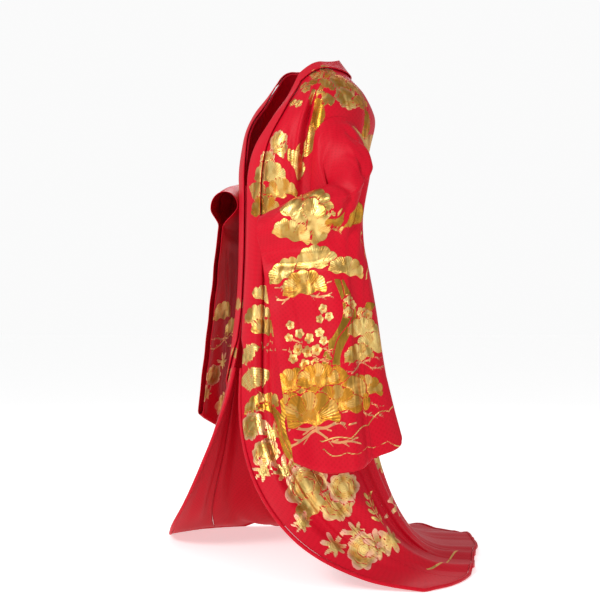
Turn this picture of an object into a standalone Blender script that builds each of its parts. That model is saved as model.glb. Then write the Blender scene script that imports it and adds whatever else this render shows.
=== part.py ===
"""Uchikake wedding kimono, worn open with its train laid out, as cut and sewn pieces.

Metres, +Z up.  The garment faces -Y and the wearer's left is +X.  The origin is at the
base of the neck, between the shoulders, where the wearer holds the garment up; the
floor under the train is FLOOR_Z.
"""
import math

import bmesh
import bpy
import numpy as np

# Driving sizes
FLOOR_Z = -1.340          # floor below the base of the neck
CLOTH = 0.0016            # silk brocade and its interlining
LINING = 0.0012           # plain silk lining
SEAM_GAP = 0.0003         # clearance between pieces that are sewn together
LAYER_GAP = 0.0007        # clearance between the brocade and the lining behind it
OKUMI_GAP = 0.0005        # clearance at the overlap panel's seam, as a share of the round
COLLAR_CLOTH = 0.0030     # the collar is folded double
COLLAR_EASE = 0.0032      # room for the collar over the curve of the shoulder
ROLL_RADIUS = 0.0052      # wadded roll along the front edges and the hem
SLEEVE_SEAM = 0.0015      # the sleeve's end stands this far off the curved body panel
SLEEVE_HEM_HALF = 0.008   # half the fold at the bottom of a sleeve
ARM_SHARE = 0.22          # share of a sleeve's half round that goes over the arm
UNDER_SHARE = 0.14        # share of its leg that runs in under the arm
BOTTOM_FOLD = 0.975       # share of its leg below which the bottom fold rounds in

# Grid counts; the body's columns are counted in three runs, split by the armhole
BODY_COLUMNS = (6, 4, 4)
FOLD_ROUNDING = (0.55, 0.88, 1.0)  # places round the bottom fold of a sleeve
BODY_ROWS = 30
OKUMI_COLUMNS = 4
SLEEVE_ROWS = 12
LEG_COLUMNS = 5
OKUMI_ROW = 11            # the body row where the overlap panel's point starts
COLLAR_ROW = 18           # the body row where the collar ends on the overlap panel
COLLAR_ACROSS = 2

# The body cloth, one row for each level from the neck to the hem.  Heights are above the
# floor, angles in degrees from the wearer's side (90 is the centre back, -90 the centre
# front), "turn" swings the level about Z and "pull" draws the round in between the
# side and the centre back.  The last is the share of the round where the front panel ends.
# Columns: half width, back depth, front depth, heights at the side, back and front, end
# angles left and right, turn, shift along X, pull, share.
BODY_LEVELS = {
    "neck":   (0.088, 0.080, 0.085, 1.378, 1.402, 1.300, -40, -40, 0.0, 0.000, 0.00, 1.00),
    "collar": (0.125, 0.127, 0.115, 1.352, 1.330, 1.240, -52, -52, 0.0, 0.000, 0.00, 1.00),
    "yoke":   (0.170, 0.165, 0.150, 1.315, 1.270, 1.200, -64, -64, 0.0, 0.000, 0.00, 1.00),
    "point":  (0.212, 0.178, 0.170, 1.245, 1.215, 1.150, -80, -80, 0.0, 0.000, 0.00, 1.00),
    "chest":  (0.220, 0.150, 0.182, 1.130, 1.130, 1.080, -86, -86, 0.0, 0.000, 0.00, 0.98),
    "waist":  (0.208, 0.122, 0.184, 0.990, 0.990, 0.980, -87, -87, 0.0, 0.000, 0.00, 0.88),
    "hip":    (0.213, 0.120, 0.188, 0.830, 0.830, 0.830, -87, -88, 0.0, 0.000, 0.00, 0.80),
    "thigh":  (0.230, 0.124, 0.200, 0.660, 0.650, 0.660, -86, -88, 0.0, 0.000, 0.00, 0.77),
    "knee":   (0.255, 0.132, 0.228, 0.470, 0.440, 0.470, -78, -80, 0.0, 0.000, 0.00, 0.77),
    "calf":   (0.305, 0.155, 0.280, 0.290, 0.255, 0.290, -60, -62, 3.0, -0.010, 0.02, 0.78),
    "shin":   (0.375, 0.240, 0.350, 0.130, 0.120, 0.130, -38, -43, 8.0, -0.030, 0.05, 0.79),
    "ankle":  (0.450, 0.400, 0.440, 0.036, 0.040, 0.042, -16, -23, 12.0, -0.050, 0.10, 0.80),
    "hem":    (0.535, 0.590, 0.500, 0.008, 0.008, 0.008, -3, -10, 13.5, -0.055, 0.14, 0.81),
}

# The sleeve, one row for each place from the armhole to the wrist: the fold over the
# arm, the point under the arm, the bottom of the bag (heights above the floor), the
# half widths over and under the arm, and the way the outer layer faces, in degrees.
SLEEVE_PLACES = {
    "armhole": (0.216, -0.010, 1.215, 0.226, -0.030, 0.985, 0.405, 0.070, 0.370, 0.066, 0.054, 90),
    "upper":   (0.272, -0.015, 1.135, 0.290, -0.020, 0.930, 0.408, 0.020, 0.340, 0.064, 0.036, 55),
    "elbow":   (0.290, -0.050, 1.045, 0.292, -0.055, 0.880, 0.390, -0.050, 0.305, 0.056, 0.022, 10),
    "forearm": (0.235, -0.130, 1.000, 0.242, -0.135, 0.860, 0.350, -0.120, 0.295, 0.050, 0.016, -25),
    "wrist":   (0.150, -0.205, 0.950, 0.165, -0.210, 0.850, 0.305, -0.180, 0.320, 0.042, 0.006, -40),
}
# Largest folds of the body cloth: place and half width as shares of the round, the rows
# where each one starts, is full and ends, how far it stands out (sunk if negative), and
# how far it leans to the side as it goes down.
BODY_FOLDS = {
    "shoulder tuck": (0.700, 0.060, 0.16, 0.26, 0.46, -0.016, -0.06),
    "front fold":    (0.874, 0.056, 0.40, 0.56, 0.95, -0.018, 0.00),
    "front ridge":   (0.692, 0.062, 0.46, 0.66, 1.30, 0.014, 0.00),
    "side trough":   (0.590, 0.056, 0.46, 0.62, 0.96, -0.013, 0.00),
    "side ridge":    (0.490, 0.064, 0.50, 0.72, 1.30, 0.015, 0.00),
    "back ridge":    (0.370, 0.075, 0.44, 0.66, 1.30, 0.013, 0.02),
    "back trough":   (0.250, 0.065, 0.42, 0.60, 0.94, -0.012, 0.01),
    "centre ridge":  (0.120, 0.070, 0.50, 0.70, 1.30, 0.011, 0.00),
}
# Largest folds of a sleeve's bag: place and half width from armhole to wrist, where each
# starts below the arm, how far it leans by the bottom, and how far it stands out.
SLEEVE_FOLDS = {
    "furi fall":    (0.10, 0.16, 0.10, 0.02, 0.010),
    "elbow trough": (0.36, 0.15, 0.05, -0.04, -0.012),
    "elbow fall":   (0.58, 0.15, 0.00, -0.06, 0.013),
    "wrist trough": (0.82, 0.14, 0.08, -0.02, -0.009),
}
# The right forearm is held higher, and its sleeve hangs shorter and further in.
RIGHT_WRIST_RISE = 0.085
RIGHT_WRIST_IN = 0.030
RIGHT_HEM_RISE = 0.075
RIGHT_HEM_OUT = -0.020
RIGHT_HEM_FRONT = -0.035

# Armhole in the body panel, as shares of the round and of the rows
ARMHOLE_U = (0.43, 0.65)
ARMHOLE_V = (0.295, 0.405)
CENTRE_GAP = 0.0004       # clearance at the centre back seam, as a share of the round
LINING_INSET = 0.0040     # the same for the lining, whose seam lies deeper
COLLAR_WIDE = 0.100       # collar width as a share of the round
LYING = (0.84, 0.97)      # the rows over which the train goes over to lying on the floor
ROLL_EASE = 0.0006        # extra room between an edge and its wadded roll
ROLL_BEHIND = (0.99, 0.985)  # shares just inside the edge, which show the roll its way out
ROLL_END = 0.9            # the roll's last length is cut short at the centre back


def table(rows):
    return np.array(list(rows.values()), dtype=float)


def along(rows, share):
    """Smooth curve through a table's rows; share runs from 0 to 1."""
    last = len(rows) - 1
    place = np.clip(share, 0.0, 1.0) * last
    low = np.minimum(place.astype(int), last - 1)
    part = (place - low)[..., None]
    before = rows[np.maximum(low - 1, 0)]
    start = rows[low]
    end = rows[low + 1]
    after = rows[np.minimum(low + 2, last)]
    return 0.5 * (2 * start + (end - before) * part
                  + (2 * before - 5 * start + 4 * end - after) * part ** 2
                  + (3 * start - before - 3 * end + after) * part ** 3)


def ease(value, low, high):
    """0 below low, 1 above high, smooth between."""
    part = np.clip((value - low) / (high - low), 0.0, 1.0)
    return part * part * (3.0 - 2.0 * part)


def mound(distance, half_width):
    """1 at the middle of a fold, 0 at its foot."""
    return 0.5 + 0.5 * np.cos(math.pi * np.clip(distance / half_width, -1.0, 1.0))


BODY = table(BODY_LEVELS)
SLEEVE = table(SLEEVE_PLACES)


def body_folds(u, v):
    total = np.zeros(np.shape(u))
    for place, half_width, start, full, end, out, lean in BODY_FOLDS.values():
        middle = place + lean * (v - start)
        run = ease(v, start, full) * (1.0 - ease(v, end - 0.12, end))
        total = total + out * run * mound(u - middle, half_width)
    return total


def sleeve_folds(s, hang):
    total = np.zeros(np.shape(s))
    for place, half_width, start, lean, out in SLEEVE_FOLDS.values():
        total = total + out * ease(hang, start, start + 0.25) * mound(
            s - place - lean * hang, half_width)
    return total


def body_surface(side, u, v):
    """Outer face of the body cloth: u 0 centre back to 1 front edge, v 0 neck to 1 hem."""
    u, v = np.broadcast_arrays(np.asarray(u, float), np.asarray(v, float))
    (width, back, front, side_z, back_z, front_z, end_left, end_right, turn, shift,
     pull, _) = np.moveaxis(along(BODY, v), -1, 0)
    end = np.radians(end_left if side > 0 else end_right)
    angle = math.pi / 2 + (end - math.pi / 2) * u
    cos, sin = np.cos(angle), np.sin(angle)
    draw = 1.0 - pull * np.where(sin > 0, np.sin(2 * angle) ** 2, 0.0)
    fold = body_folds(u, v)
    lying = ease(v, *LYING)
    x = side * (width * cos * draw + fold * (1.0 - lying) * cos + SEAM_GAP / 2)
    y = np.where(sin > 0, back, front) * sin * draw + fold * (1.0 - lying) * sin
    z = side_z + np.where(sin > 0, back_z - side_z, front_z - side_z) * sin * sin
    z = z + np.maximum(fold, 0.0) * lying
    swing = np.radians(turn)
    return np.stack([x * np.cos(swing) - y * np.sin(swing) + shift,
                     x * np.sin(swing) + y * np.cos(swing),
                     z + FLOOR_Z], -1)


def body_normal(side, u, v):
    """Outward direction of the body cloth, from neighbouring points of the surface."""
    step = 1e-3
    across = body_surface(side, u + step, v) - body_surface(side, u - step, v)
    down = (body_surface(side, u, np.minimum(v + step, 1.0))
            - body_surface(side, u, np.maximum(v - step, 0.0)))
    normal = np.cross(across, down) * side
    return normal / np.linalg.norm(normal, axis=-1, keepdims=True)


def body_layer(side, u, v, lift):
    """The body surface moved outwards by lift, inwards where lift is negative."""
    u, v = np.broadcast_arrays(np.asarray(u, float), np.asarray(v, float))
    return body_surface(side, u, v) + body_normal(side, u, v) * lift


def okumi_share(v):
    """Share of the round at which the front panel meets the overlap panel."""
    return along(BODY, np.asarray(v, float))[..., -1]


def side_reach(y, height):
    """How far out the body cloth's side is, at a place y and a height above the floor."""
    levels = np.linspace(0.0, 1.0, 241)
    rows = along(BODY, levels)
    order = np.argsort(rows[:, 3])
    width = np.interp(height, rows[order, 3], rows[order, 0])
    back = np.interp(height, rows[order, 3], rows[order, 1])
    front = np.interp(height, rows[order, 3], rows[order, 2])
    depth = np.where(y > 0, back, front)
    return width * np.sqrt(np.maximum(1.0 - (y / depth) ** 2, 0.0))


def sleeve_surface(side, s, w):
    """Outer face of a sleeve: s 0 armhole to 1 wrist; w -1 bottom, up the outer layer,
    0 the fold over the arm, down the inner layer to 1, the bottom again."""
    s, w = np.broadcast_arrays(np.asarray(s, float), np.asarray(w, float))
    row = along(SLEEVE, s)
    top, under, hem = row[..., 0:3].copy(), row[..., 3:6].copy(), row[..., 6:9].copy()
    arm, pinch, facing = row[..., 9], row[..., 10], np.radians(row[..., 11])
    if side < 0:
        top += np.stack([-RIGHT_WRIST_IN * s ** 4, 0 * s, RIGHT_WRIST_RISE * s], -1)
        under += np.stack([-RIGHT_WRIST_IN * s ** 4, 0 * s, RIGHT_WRIST_RISE * s], -1)
        hem += np.stack([RIGHT_HEM_OUT * s, RIGHT_HEM_FRONT * s,
                         RIGHT_HEM_RISE * (0.2 + 0.8 * s)], -1)
    share = np.abs(w)
    bend = np.clip(share / ARM_SHARE, 0.0, 1.0) * math.pi / 2
    leg = np.clip((share - ARM_SHARE) / (1.0 - ARM_SHARE), 0.0, 1.0)
    tuck = np.clip(leg / UNDER_SHARE, 0.0, 1.0)
    hang = np.clip((leg - UNDER_SHARE) / (1.0 - UNDER_SHARE), 0.0, 1.0)
    shoulder = top - np.stack([0 * arm, 0 * arm, arm * (1.0 - np.cos(bend))], -1)
    centre = shoulder + (under - shoulder) * np.where(leg > 0, tuck, 0.0)[..., None]
    centre = centre + (hem - under) * hang[..., None]
    narrowing = 0.5 - 0.5 * np.cos(math.pi * tuck)
    half = np.where(leg > 0, arm + (pinch - arm) * narrowing, arm * np.sin(bend))
    bag = pinch + (SLEEVE_HEM_HALF - pinch) * np.minimum(hang * 1.4, 1.0) ** 0.8
    turn = np.clip((hang - BOTTOM_FOLD) / (1.0 - BOTTOM_FOLD), 0.0, 1.0)
    rounding = np.sqrt(1.0 - turn ** 2)
    half = np.where(hang > 0, bag * rounding, half)
    outward = np.stack([np.cos(facing), np.sin(facing), 0 * facing], -1)
    centre = centre + outward * (sleeve_folds(s, hang) * ease(s, 0.0, 0.1))[..., None]
    point = centre - outward * (half * np.sign(w))[..., None]
    seat = side_reach(point[..., 1], point[..., 2]) + SLEEVE_SEAM
    sewn = (s == 0) & (hang <= 0)
    point[..., 0] = np.where(sewn, seat, point[..., 0])
    return point * np.array([side, 1.0, 1.0]) + np.array([0.0, 0.0, FLOOR_Z])


def material(name, colour, roughness, metallic=0.0):
    mat = bpy.data.materials.new(name)
    mat.use_nodes = True
    shader = mat.node_tree.nodes["Principled BSDF"]
    shader.inputs["Base Color"].default_value = (*colour, 1.0)
    shader.inputs["Roughness"].default_value = roughness
    shader.inputs["Metallic"].default_value = metallic
    return mat


def sink_in(mesh, depth):
    """Move an open surface inwards by a constant depth, square to its faces."""
    shape = bmesh.new()
    shape.from_mesh(mesh)
    shape.normal_update()
    moves = [(vert, vert.normal * (vert.calc_shell_factor() * depth)) for vert in shape.verts]
    for vert, move in moves:
        vert.co -= move
    shape.to_mesh(mesh)
    shape.free()


def cloth_object(name, points, mat, thickness, flip, sink=0.0, skip=None, closed=False):
    """A wall of cloth on a grid of points, rows by columns, with Solidify inwards."""
    rows, columns = points.shape[:2]
    faces = []
    for i in range(rows - 1):
        for j in range(columns if closed else columns - 1):
            if skip is not None and skip(i, j):
                continue
            k = (j + 1) % columns
            face = (i * columns + j, i * columns + k,
                    (i + 1) * columns + k, (i + 1) * columns + j)
            faces.append(face[::-1] if flip else face)
    used = sorted({index for face in faces for index in face})
    place = {old: number for number, old in enumerate(used)}
    flat = points.reshape(-1, 3)
    mesh = bpy.data.meshes.new(name)
    mesh.from_pydata([tuple(flat[old]) for old in used], [],
                     [tuple(place[index] for index in face) for face in faces])
    mesh.materials.append(mat)
    mesh.shade_smooth()
    if sink:
        sink_in(mesh, sink)
    obj = bpy.data.objects.new(name, mesh)
    GARMENT.objects.link(obj)
    wall = obj.modifiers.new("wall", "SOLIDIFY")
    wall.thickness = thickness
    wall.offset = -1.0
    wall.use_even_offset = True
    wall.use_rim = True
    return obj


def body_levels(first=0):
    """Shares of the body's rows from one row down to the hem, as a column."""
    return (np.arange(first, BODY_ROWS + 1) / BODY_ROWS)[:, None]


def body_columns():
    """Shares across the front-and-back panel, with lines at both sides of the armhole."""
    ends = (0.0, *ARMHOLE_U, 1.0)
    runs = [np.linspace(low, high, count + 1)[:-1]
            for low, high, count in zip(ends, ends[1:], BODY_COLUMNS)]
    return np.concatenate([*runs, [1.0]])[None, :]


def in_armhole(u, v):
    return ARMHOLE_U[0] < u < ARMHOLE_U[1] and ARMHOLE_V[0] < v < ARMHOLE_V[1]


def body_panel(name, side, mat, sink, thickness):
    """Back and front in one length of cloth, over the shoulder, with the armhole."""
    v = body_levels()
    end = okumi_share(v) - np.where(okumi_share(v) < 1.0, OKUMI_GAP, 0.0)
    u = body_columns() * end
    u[:, 0] = LINING_INSET if sink else CENTRE_GAP
    u_mid = (body_columns()[0, :-1] + body_columns()[0, 1:]) / 2
    v_mid = (v[:-1, 0] + v[1:, 0]) / 2
    return cloth_object(name, body_surface(side, u, v), mat, thickness, side < 0, sink,
                        skip=lambda i, j: in_armhole(u_mid[j], v_mid[i]))


def okumi_panel(name, side, mat, sink, thickness):
    """Overlap panel along the front edge, a point at the top and full width at the hem."""
    v = body_levels(OKUMI_ROW)
    start = okumi_share(v) + OKUMI_GAP * (3.0 if sink else 1.0)
    u = start + (1.0 - start) * np.linspace(0.0, 1.0, OKUMI_COLUMNS + 1)[None, :]
    return cloth_object(name, body_surface(side, u, v), mat, thickness, side < 0, sink)


def collar_half(side, lift):
    """Collar points from the centre back round the neck and down one front edge."""
    deep = COLLAR_ACROSS / BODY_ROWS
    edge = [(u, 0.0) for u in body_columns()[0]]
    inner = [(u * (1.0 - COLLAR_WIDE), deep) for u in body_columns()[0]]
    for v in body_levels(1)[:COLLAR_ROW, 0]:
        edge.append((1.0, v))
        inner.append((1.0 - COLLAR_WIDE, v + deep))
    edge, inner = np.array(edge), np.array(inner)
    across = np.linspace(0.0, 1.0, COLLAR_ACROSS + 1)[None, :, None]
    uv = edge[:, None, :] + (inner - edge)[:, None, :] * across
    return body_layer(side, uv[..., 0], uv[..., 1], lift)


def collar(mat):
    lift = SEAM_GAP + COLLAR_CLOTH + COLLAR_EASE
    left = collar_half(1, lift)
    right = collar_half(-1, lift)
    middle = (left[:1] + right[:1]) / 2
    points = np.concatenate([left[:0:-1], middle, right[1:]])
    return cloth_object("collar", points, mat, COLLAR_CLOTH, False)


def sleeve_columns():
    """Places round a sleeve, close together over the arm and at the bottom fold."""
    arm = np.linspace(0.0, ARM_SHARE, 5)
    hang = np.concatenate([np.linspace(0.0, BOTTOM_FOLD, LEG_COLUMNS + 1),
                           BOTTOM_FOLD + (1.0 - BOTTOM_FOLD) * np.array(FOLD_ROUNDING)])
    leg = np.concatenate([[0.5 * UNDER_SHARE], UNDER_SHARE + (1.0 - UNDER_SHARE) * hang])
    half = np.concatenate([arm, ARM_SHARE + (1.0 - ARM_SHARE) * leg])
    return np.concatenate([-half[::-1], half[1:-1]])


def sleeve(name, side, mat):
    s = np.linspace(0.0, 1.0, SLEEVE_ROWS + 1)[:, None]
    w = sleeve_columns()[None, :]
    return cloth_object(name, sleeve_surface(side, s, w), mat, CLOTH, side > 0, closed=True)


def edge_roll(name, side, mat):
    """Wadded roll from the collar's end, down the front edge and along the hem."""
    reach = ROLL_RADIUS + SEAM_GAP + ROLL_EASE
    down = [(1.0, v) for v in body_levels(COLLAR_ROW + 1)[:, 0]]
    start = float(okumi_share(1.0))
    overlap = np.linspace(1.0, start, OKUMI_COLUMNS + 1)[1:]
    panel = body_columns()[0, ::-1][1:] * start
    hem = [(u, 1.0) for u in np.concatenate([overlap, panel])]
    uv = np.array(down + hem)
    edge = body_layer(side, uv[:, 0], uv[:, 1], -CLOTH)
    inside = body_layer(side, *np.minimum(uv, ROLL_BEHIND).T, -CLOTH)
    along_edge = np.gradient(edge, axis=0)
    along_edge /= np.linalg.norm(along_edge, axis=1, keepdims=True)
    away = edge - inside
    away -= along_edge * np.sum(away * along_edge, axis=1, keepdims=True)
    away /= np.linalg.norm(away, axis=1, keepdims=True)
    points = edge + away * reach
    points[:, 2] = np.maximum(points[:, 2], FLOOR_Z + ROLL_RADIUS + SEAM_GAP)
    points[-1] = points[-2] + (points[-1] - points[-2]) * ROLL_END
    curve = bpy.data.curves.new(name, "CURVE")
    curve.dimensions = "3D"
    curve.bevel_depth = ROLL_RADIUS
    curve.bevel_resolution = 1
    curve.use_fill_caps = True
    spline = curve.splines.new("POLY")
    spline.points.add(len(points) - 1)
    for place, point in zip(spline.points, points):
        place.co = (*point, 1.0)
    curve.materials.append(mat)
    obj = bpy.data.objects.new(name, curve)
    GARMENT.objects.link(obj)
    return obj


for old in list(bpy.data.objects):
    bpy.data.objects.remove(old, do_unlink=True)
GARMENT = bpy.data.collections.new("uchikake")
bpy.context.scene.collection.children.link(GARMENT)

silk = material("red_figured_silk", (0.60, 0.010, 0.028), 0.42)
plain = material("red_plain_silk", (0.62, 0.012, 0.030), 0.48)

for side, word in ((1, "left"), (-1, "right")):
    body_panel("body_" + word, side, silk, 0.0, CLOTH)
    okumi_panel("okumi_" + word, side, silk, 0.0, CLOTH)
    body_panel("lining_" + word, side, plain, CLOTH + LAYER_GAP, LINING)
    okumi_panel("lining_okumi_" + word, side, plain, CLOTH + LAYER_GAP, LINING)
    sleeve("sleeve_" + word, side, silk)
    edge_roll("hem_roll_" + word, side, plain)
collar(silk)
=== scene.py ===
"""Dressed view of the uchikake wedding kimono: figured red silk with gold foil motifs.

It is laid out as a Blender add-on and run as a script.  Every piece repeats the form of
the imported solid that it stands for, finer and with the cloth's own creases.
"""
import math
import bpy
import numpy as np
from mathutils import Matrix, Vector


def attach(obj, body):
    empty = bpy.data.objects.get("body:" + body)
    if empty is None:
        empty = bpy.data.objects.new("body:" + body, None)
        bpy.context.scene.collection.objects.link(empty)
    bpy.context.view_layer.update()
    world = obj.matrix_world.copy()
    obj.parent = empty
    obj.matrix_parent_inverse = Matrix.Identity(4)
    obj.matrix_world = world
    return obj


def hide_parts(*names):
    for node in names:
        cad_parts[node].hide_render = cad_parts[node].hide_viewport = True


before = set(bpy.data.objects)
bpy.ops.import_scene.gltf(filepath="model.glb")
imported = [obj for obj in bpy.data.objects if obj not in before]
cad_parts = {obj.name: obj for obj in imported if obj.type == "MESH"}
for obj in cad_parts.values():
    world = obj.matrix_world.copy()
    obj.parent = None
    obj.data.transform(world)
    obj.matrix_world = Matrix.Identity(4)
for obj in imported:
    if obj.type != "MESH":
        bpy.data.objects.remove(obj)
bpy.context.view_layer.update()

bl_info = {
    "name": "Uchikake wedding kimono",
    "version": (1, 0, 0),
    "blender": (4, 5, 0),
    "location": "3D View > Sidebar > Uchikake",
    "description": "Builds the cloth, motifs, lining, rolls and the stage of an uchikake",
    "category": "Object",
}

# Sizes that the solids were made from, in metres: floor, walls, gaps and the roll
FLOOR_Z = -1.340
CLOTH = 0.0016
LINING = 0.0012
LAYER_GAP = 0.0007
SEAM_GAP = 0.0003
COLLAR_CLOTH = 0.0030
COLLAR_EASE = 0.0032
ROLL_RADIUS = 0.0052
SLEEVE_SEAM = 0.0015
ROLL_EASE = 0.0006
SLEEVE_HEM_HALF = 0.008

# Shares that the solids were made from.  Round a sleeve: over the arm, under it and where
# the bottom fold starts; then how far along the arm and down the bag it bends to meet
# the body cloth
ARM_SHARE = 0.22
UNDER_SHARE = 0.14
BOTTOM_FOLD = 0.975
SEAM_REACH = (1 / 12, 0.195)
# Round the body (U) and down its rows (V): armhole, overlap, seams, lining, collar, roll
ARMHOLE_U = (0.43, 0.65)
ARMHOLE_V = (0.300, 0.400)
OKUMI_TOP = 11 / 30
OKUMI_GAP = 0.0005
CENTRE_GAP = 0.0004
LINING_INSET = 0.0040
COLLAR_END = 18 / 30
COLLAR_DEEP = 2 / 30
COLLAR_WIDE = 0.100
ROLL_START = 19 / 30

# Shares of the body grid's columns on each side of the armhole, and of its rows down to
# the armhole, along it, to the knee, over the lower skirt and on the train
COLUMN_PARTS = {1: (0.24, 0.18, 0.58), -1: (0.34, 0.20, 0.46)}
ROW_PARTS = (0.20, 0.07, 0.15, 0.43, 0.15)

# Cells of the pieces whose fineness isn't set in the panel
OVERLAP_COLUMNS = 76
OVERLAP_ROW_SHARE = 0.8
LINING_CELLS = (120, 60)
OVERLAP_LINING_CELLS = (110, 16)
INNER_ROW_SHARE = {1: 0.36, -1: 0.75}
COLLAR_CELLS = (60, 180, 16)
ROLL_CELLS = (120, 40, 160)
ROLL_SIDES = 16

# Levels of the body cloth: half width, back depth, front depth, heights above the floor
# at the side, back and front, end angles left and right, turn, shift, pull and the share
# of the round where the front panel ends
BODY_LEVELS = {
    "neck":   (0.088, 0.080, 0.085, 1.378, 1.402, 1.300, -40, -40, 0.0, 0.000, 0.00, 1.00),
    "collar": (0.125, 0.127, 0.115, 1.352, 1.330, 1.240, -52, -52, 0.0, 0.000, 0.00, 1.00),
    "yoke":   (0.170, 0.165, 0.150, 1.315, 1.270, 1.200, -64, -64, 0.0, 0.000, 0.00, 1.00),
    "point":  (0.212, 0.178, 0.170, 1.245, 1.215, 1.150, -80, -80, 0.0, 0.000, 0.00, 1.00),
    "chest":  (0.220, 0.150, 0.182, 1.130, 1.130, 1.080, -86, -86, 0.0, 0.000, 0.00, 0.98),
    "waist":  (0.208, 0.122, 0.184, 0.990, 0.990, 0.980, -87, -87, 0.0, 0.000, 0.00, 0.88),
    "hip":    (0.213, 0.120, 0.188, 0.830, 0.830, 0.830, -87, -88, 0.0, 0.000, 0.00, 0.80),
    "thigh":  (0.230, 0.124, 0.200, 0.660, 0.650, 0.660, -86, -88, 0.0, 0.000, 0.00, 0.77),
    "knee":   (0.255, 0.132, 0.228, 0.470, 0.440, 0.470, -78, -80, 0.0, 0.000, 0.00, 0.77),
    "calf":   (0.305, 0.155, 0.280, 0.290, 0.255, 0.290, -60, -62, 3.0, -0.010, 0.02, 0.78),
    "shin":   (0.375, 0.240, 0.350, 0.130, 0.120, 0.130, -38, -43, 8.0, -0.030, 0.05, 0.79),
    "ankle":  (0.450, 0.400, 0.440, 0.036, 0.040, 0.042, -16, -23, 12.0, -0.050, 0.10, 0.80),
    "hem":    (0.535, 0.590, 0.500, 0.008, 0.008, 0.008, -3, -10, 13.5, -0.055, 0.14, 0.81),
}
# Places along a sleeve: fold over the arm, point under it, bottom of the bag, half
# widths over and under the arm, and the way the outer layer faces
SLEEVE_PLACES = {
    "armhole": (0.216, -0.010, 1.215, 0.226, -0.030, 0.985, 0.405, 0.070, 0.370, 0.066, 0.054, 90),
    "upper":   (0.272, -0.015, 1.135, 0.290, -0.020, 0.930, 0.408, 0.020, 0.340, 0.064, 0.036, 55),
    "elbow":   (0.290, -0.050, 1.045, 0.292, -0.055, 0.880, 0.390, -0.050, 0.305, 0.056, 0.022, 10),
    "forearm": (0.235, -0.130, 1.000, 0.242, -0.135, 0.860, 0.350, -0.120, 0.295, 0.050, 0.016, -25),
    "wrist":   (0.150, -0.205, 0.950, 0.165, -0.210, 0.850, 0.305, -0.180, 0.320, 0.042, 0.006, -40),
}
RIGHT_WRIST_RISE = 0.085
RIGHT_WRIST_IN = 0.030
RIGHT_HEM_RISE = 0.075
RIGHT_HEM_OUT = -0.020
RIGHT_HEM_FRONT = -0.035

# Folds of the body cloth: place and half width (shares of the round), the rows where
# each starts, is full and ends, how far it stands out, and its lean
BODY_FOLDS = {
    "shoulder tuck": (0.700, 0.060, 0.16, 0.26, 0.46, -0.016, -0.06),
    "front fold":    (0.874, 0.056, 0.40, 0.56, 0.95, -0.018, 0.00),
    "front ridge":   (0.692, 0.062, 0.46, 0.66, 1.30, 0.014, 0.00),
    "side trough":   (0.590, 0.056, 0.46, 0.62, 0.96, -0.013, 0.00),
    "side ridge":    (0.490, 0.064, 0.50, 0.72, 1.30, 0.015, 0.00),
    "back ridge":    (0.370, 0.075, 0.44, 0.66, 1.30, 0.013, 0.02),
    "back trough":   (0.250, 0.065, 0.42, 0.60, 0.94, -0.012, 0.01),
    "centre ridge":  (0.120, 0.070, 0.50, 0.70, 1.30, 0.011, 0.00),
}
BODY_CREASES = {
    "tuck edge":       (0.738, 0.020, 0.14, 0.22, 0.44, 0.0065, -0.05),
    "tuck depth":      (0.712, 0.016, 0.16, 0.24, 0.44, -0.0090, -0.06),
    "chest drag":      (0.830, 0.030, 0.22, 0.30, 0.42, -0.0030, -0.25),
    "chest lip":       (0.790, 0.022, 0.24, 0.31, 0.44, 0.0030, -0.22),
    "yoke drag":       (0.330, 0.030, 0.12, 0.22, 0.40, -0.0035, 0.20),
    "back drag":       (0.200, 0.028, 0.20, 0.30, 0.50, 0.0030, 0.10),
    "waist crease":    (0.430, 0.022, 0.38, 0.48, 0.72, -0.0035, -0.05),
    "front crease":    (0.900, 0.014, 0.46, 0.58, 0.86, -0.0045, 0.00),
    "front lip":       (0.855, 0.014, 0.50, 0.62, 0.90, 0.0035, -0.02),
    "knee crease":     (0.760, 0.016, 0.60, 0.70, 0.92, -0.0040, 0.02),
    "side crease":     (0.560, 0.015, 0.62, 0.74, 1.05, -0.0035, -0.03),
    "side lip":        (0.530, 0.016, 0.58, 0.70, 0.98, 0.0030, 0.02),
    "train crease":    (0.310, 0.018, 0.66, 0.80, 1.20, 0.0032, 0.02),
    "train crease 2":  (0.180, 0.016, 0.70, 0.82, 1.20, 0.0030, -0.02),
    "train crease 3":  (0.420, 0.014, 0.76, 0.86, 1.20, 0.0028, 0.03),
    "centre crease":   (0.060, 0.018, 0.48, 0.62, 0.90, -0.0030, 0.00),
}
# Folds of a sleeve's bag: place, half width, start below the arm, lean and stand-out
SLEEVE_FOLDS = {
    "furi fall":    (0.10, 0.16, 0.10, 0.02, 0.010),
    "elbow trough": (0.36, 0.15, 0.05, -0.04, -0.012),
    "elbow fall":   (0.58, 0.15, 0.00, -0.06, 0.013),
    "wrist trough": (0.82, 0.14, 0.08, -0.02, -0.009),
}
SLEEVE_CREASES = {
    "furi crease":    (0.22, 0.045, 0.05, 0.10, -0.0035),
    "elbow crease":   (0.47, 0.040, 0.00, 0.06, 0.0040),
    "elbow crease 2": (0.70, 0.035, 0.02, -0.10, -0.0035),
    "wrist crease":   (0.88, 0.030, 0.00, -0.16, 0.0030),
    "bag crease":     (0.30, 0.035, 0.30, 0.08, 0.0050),
    "bag crease 2":   (0.62, 0.032, 0.35, -0.05, -0.0050),
}

# Fine creases over the arm: place and half width along it and round it, stand-out, and
# how fast they follow each other along it and round it
ARM_CREASES = {
    "elbow":     (0.45, 0.42, 0.26, 0.26, 0.0062, 9, 52),
    "upper arm": (0.22, 0.22, 0.12, 0.24, 0.0064, -24, 40),
    "forearm":   (0.76, 0.24, 0.16, 0.24, 0.0046, 40, -26),
}
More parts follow.
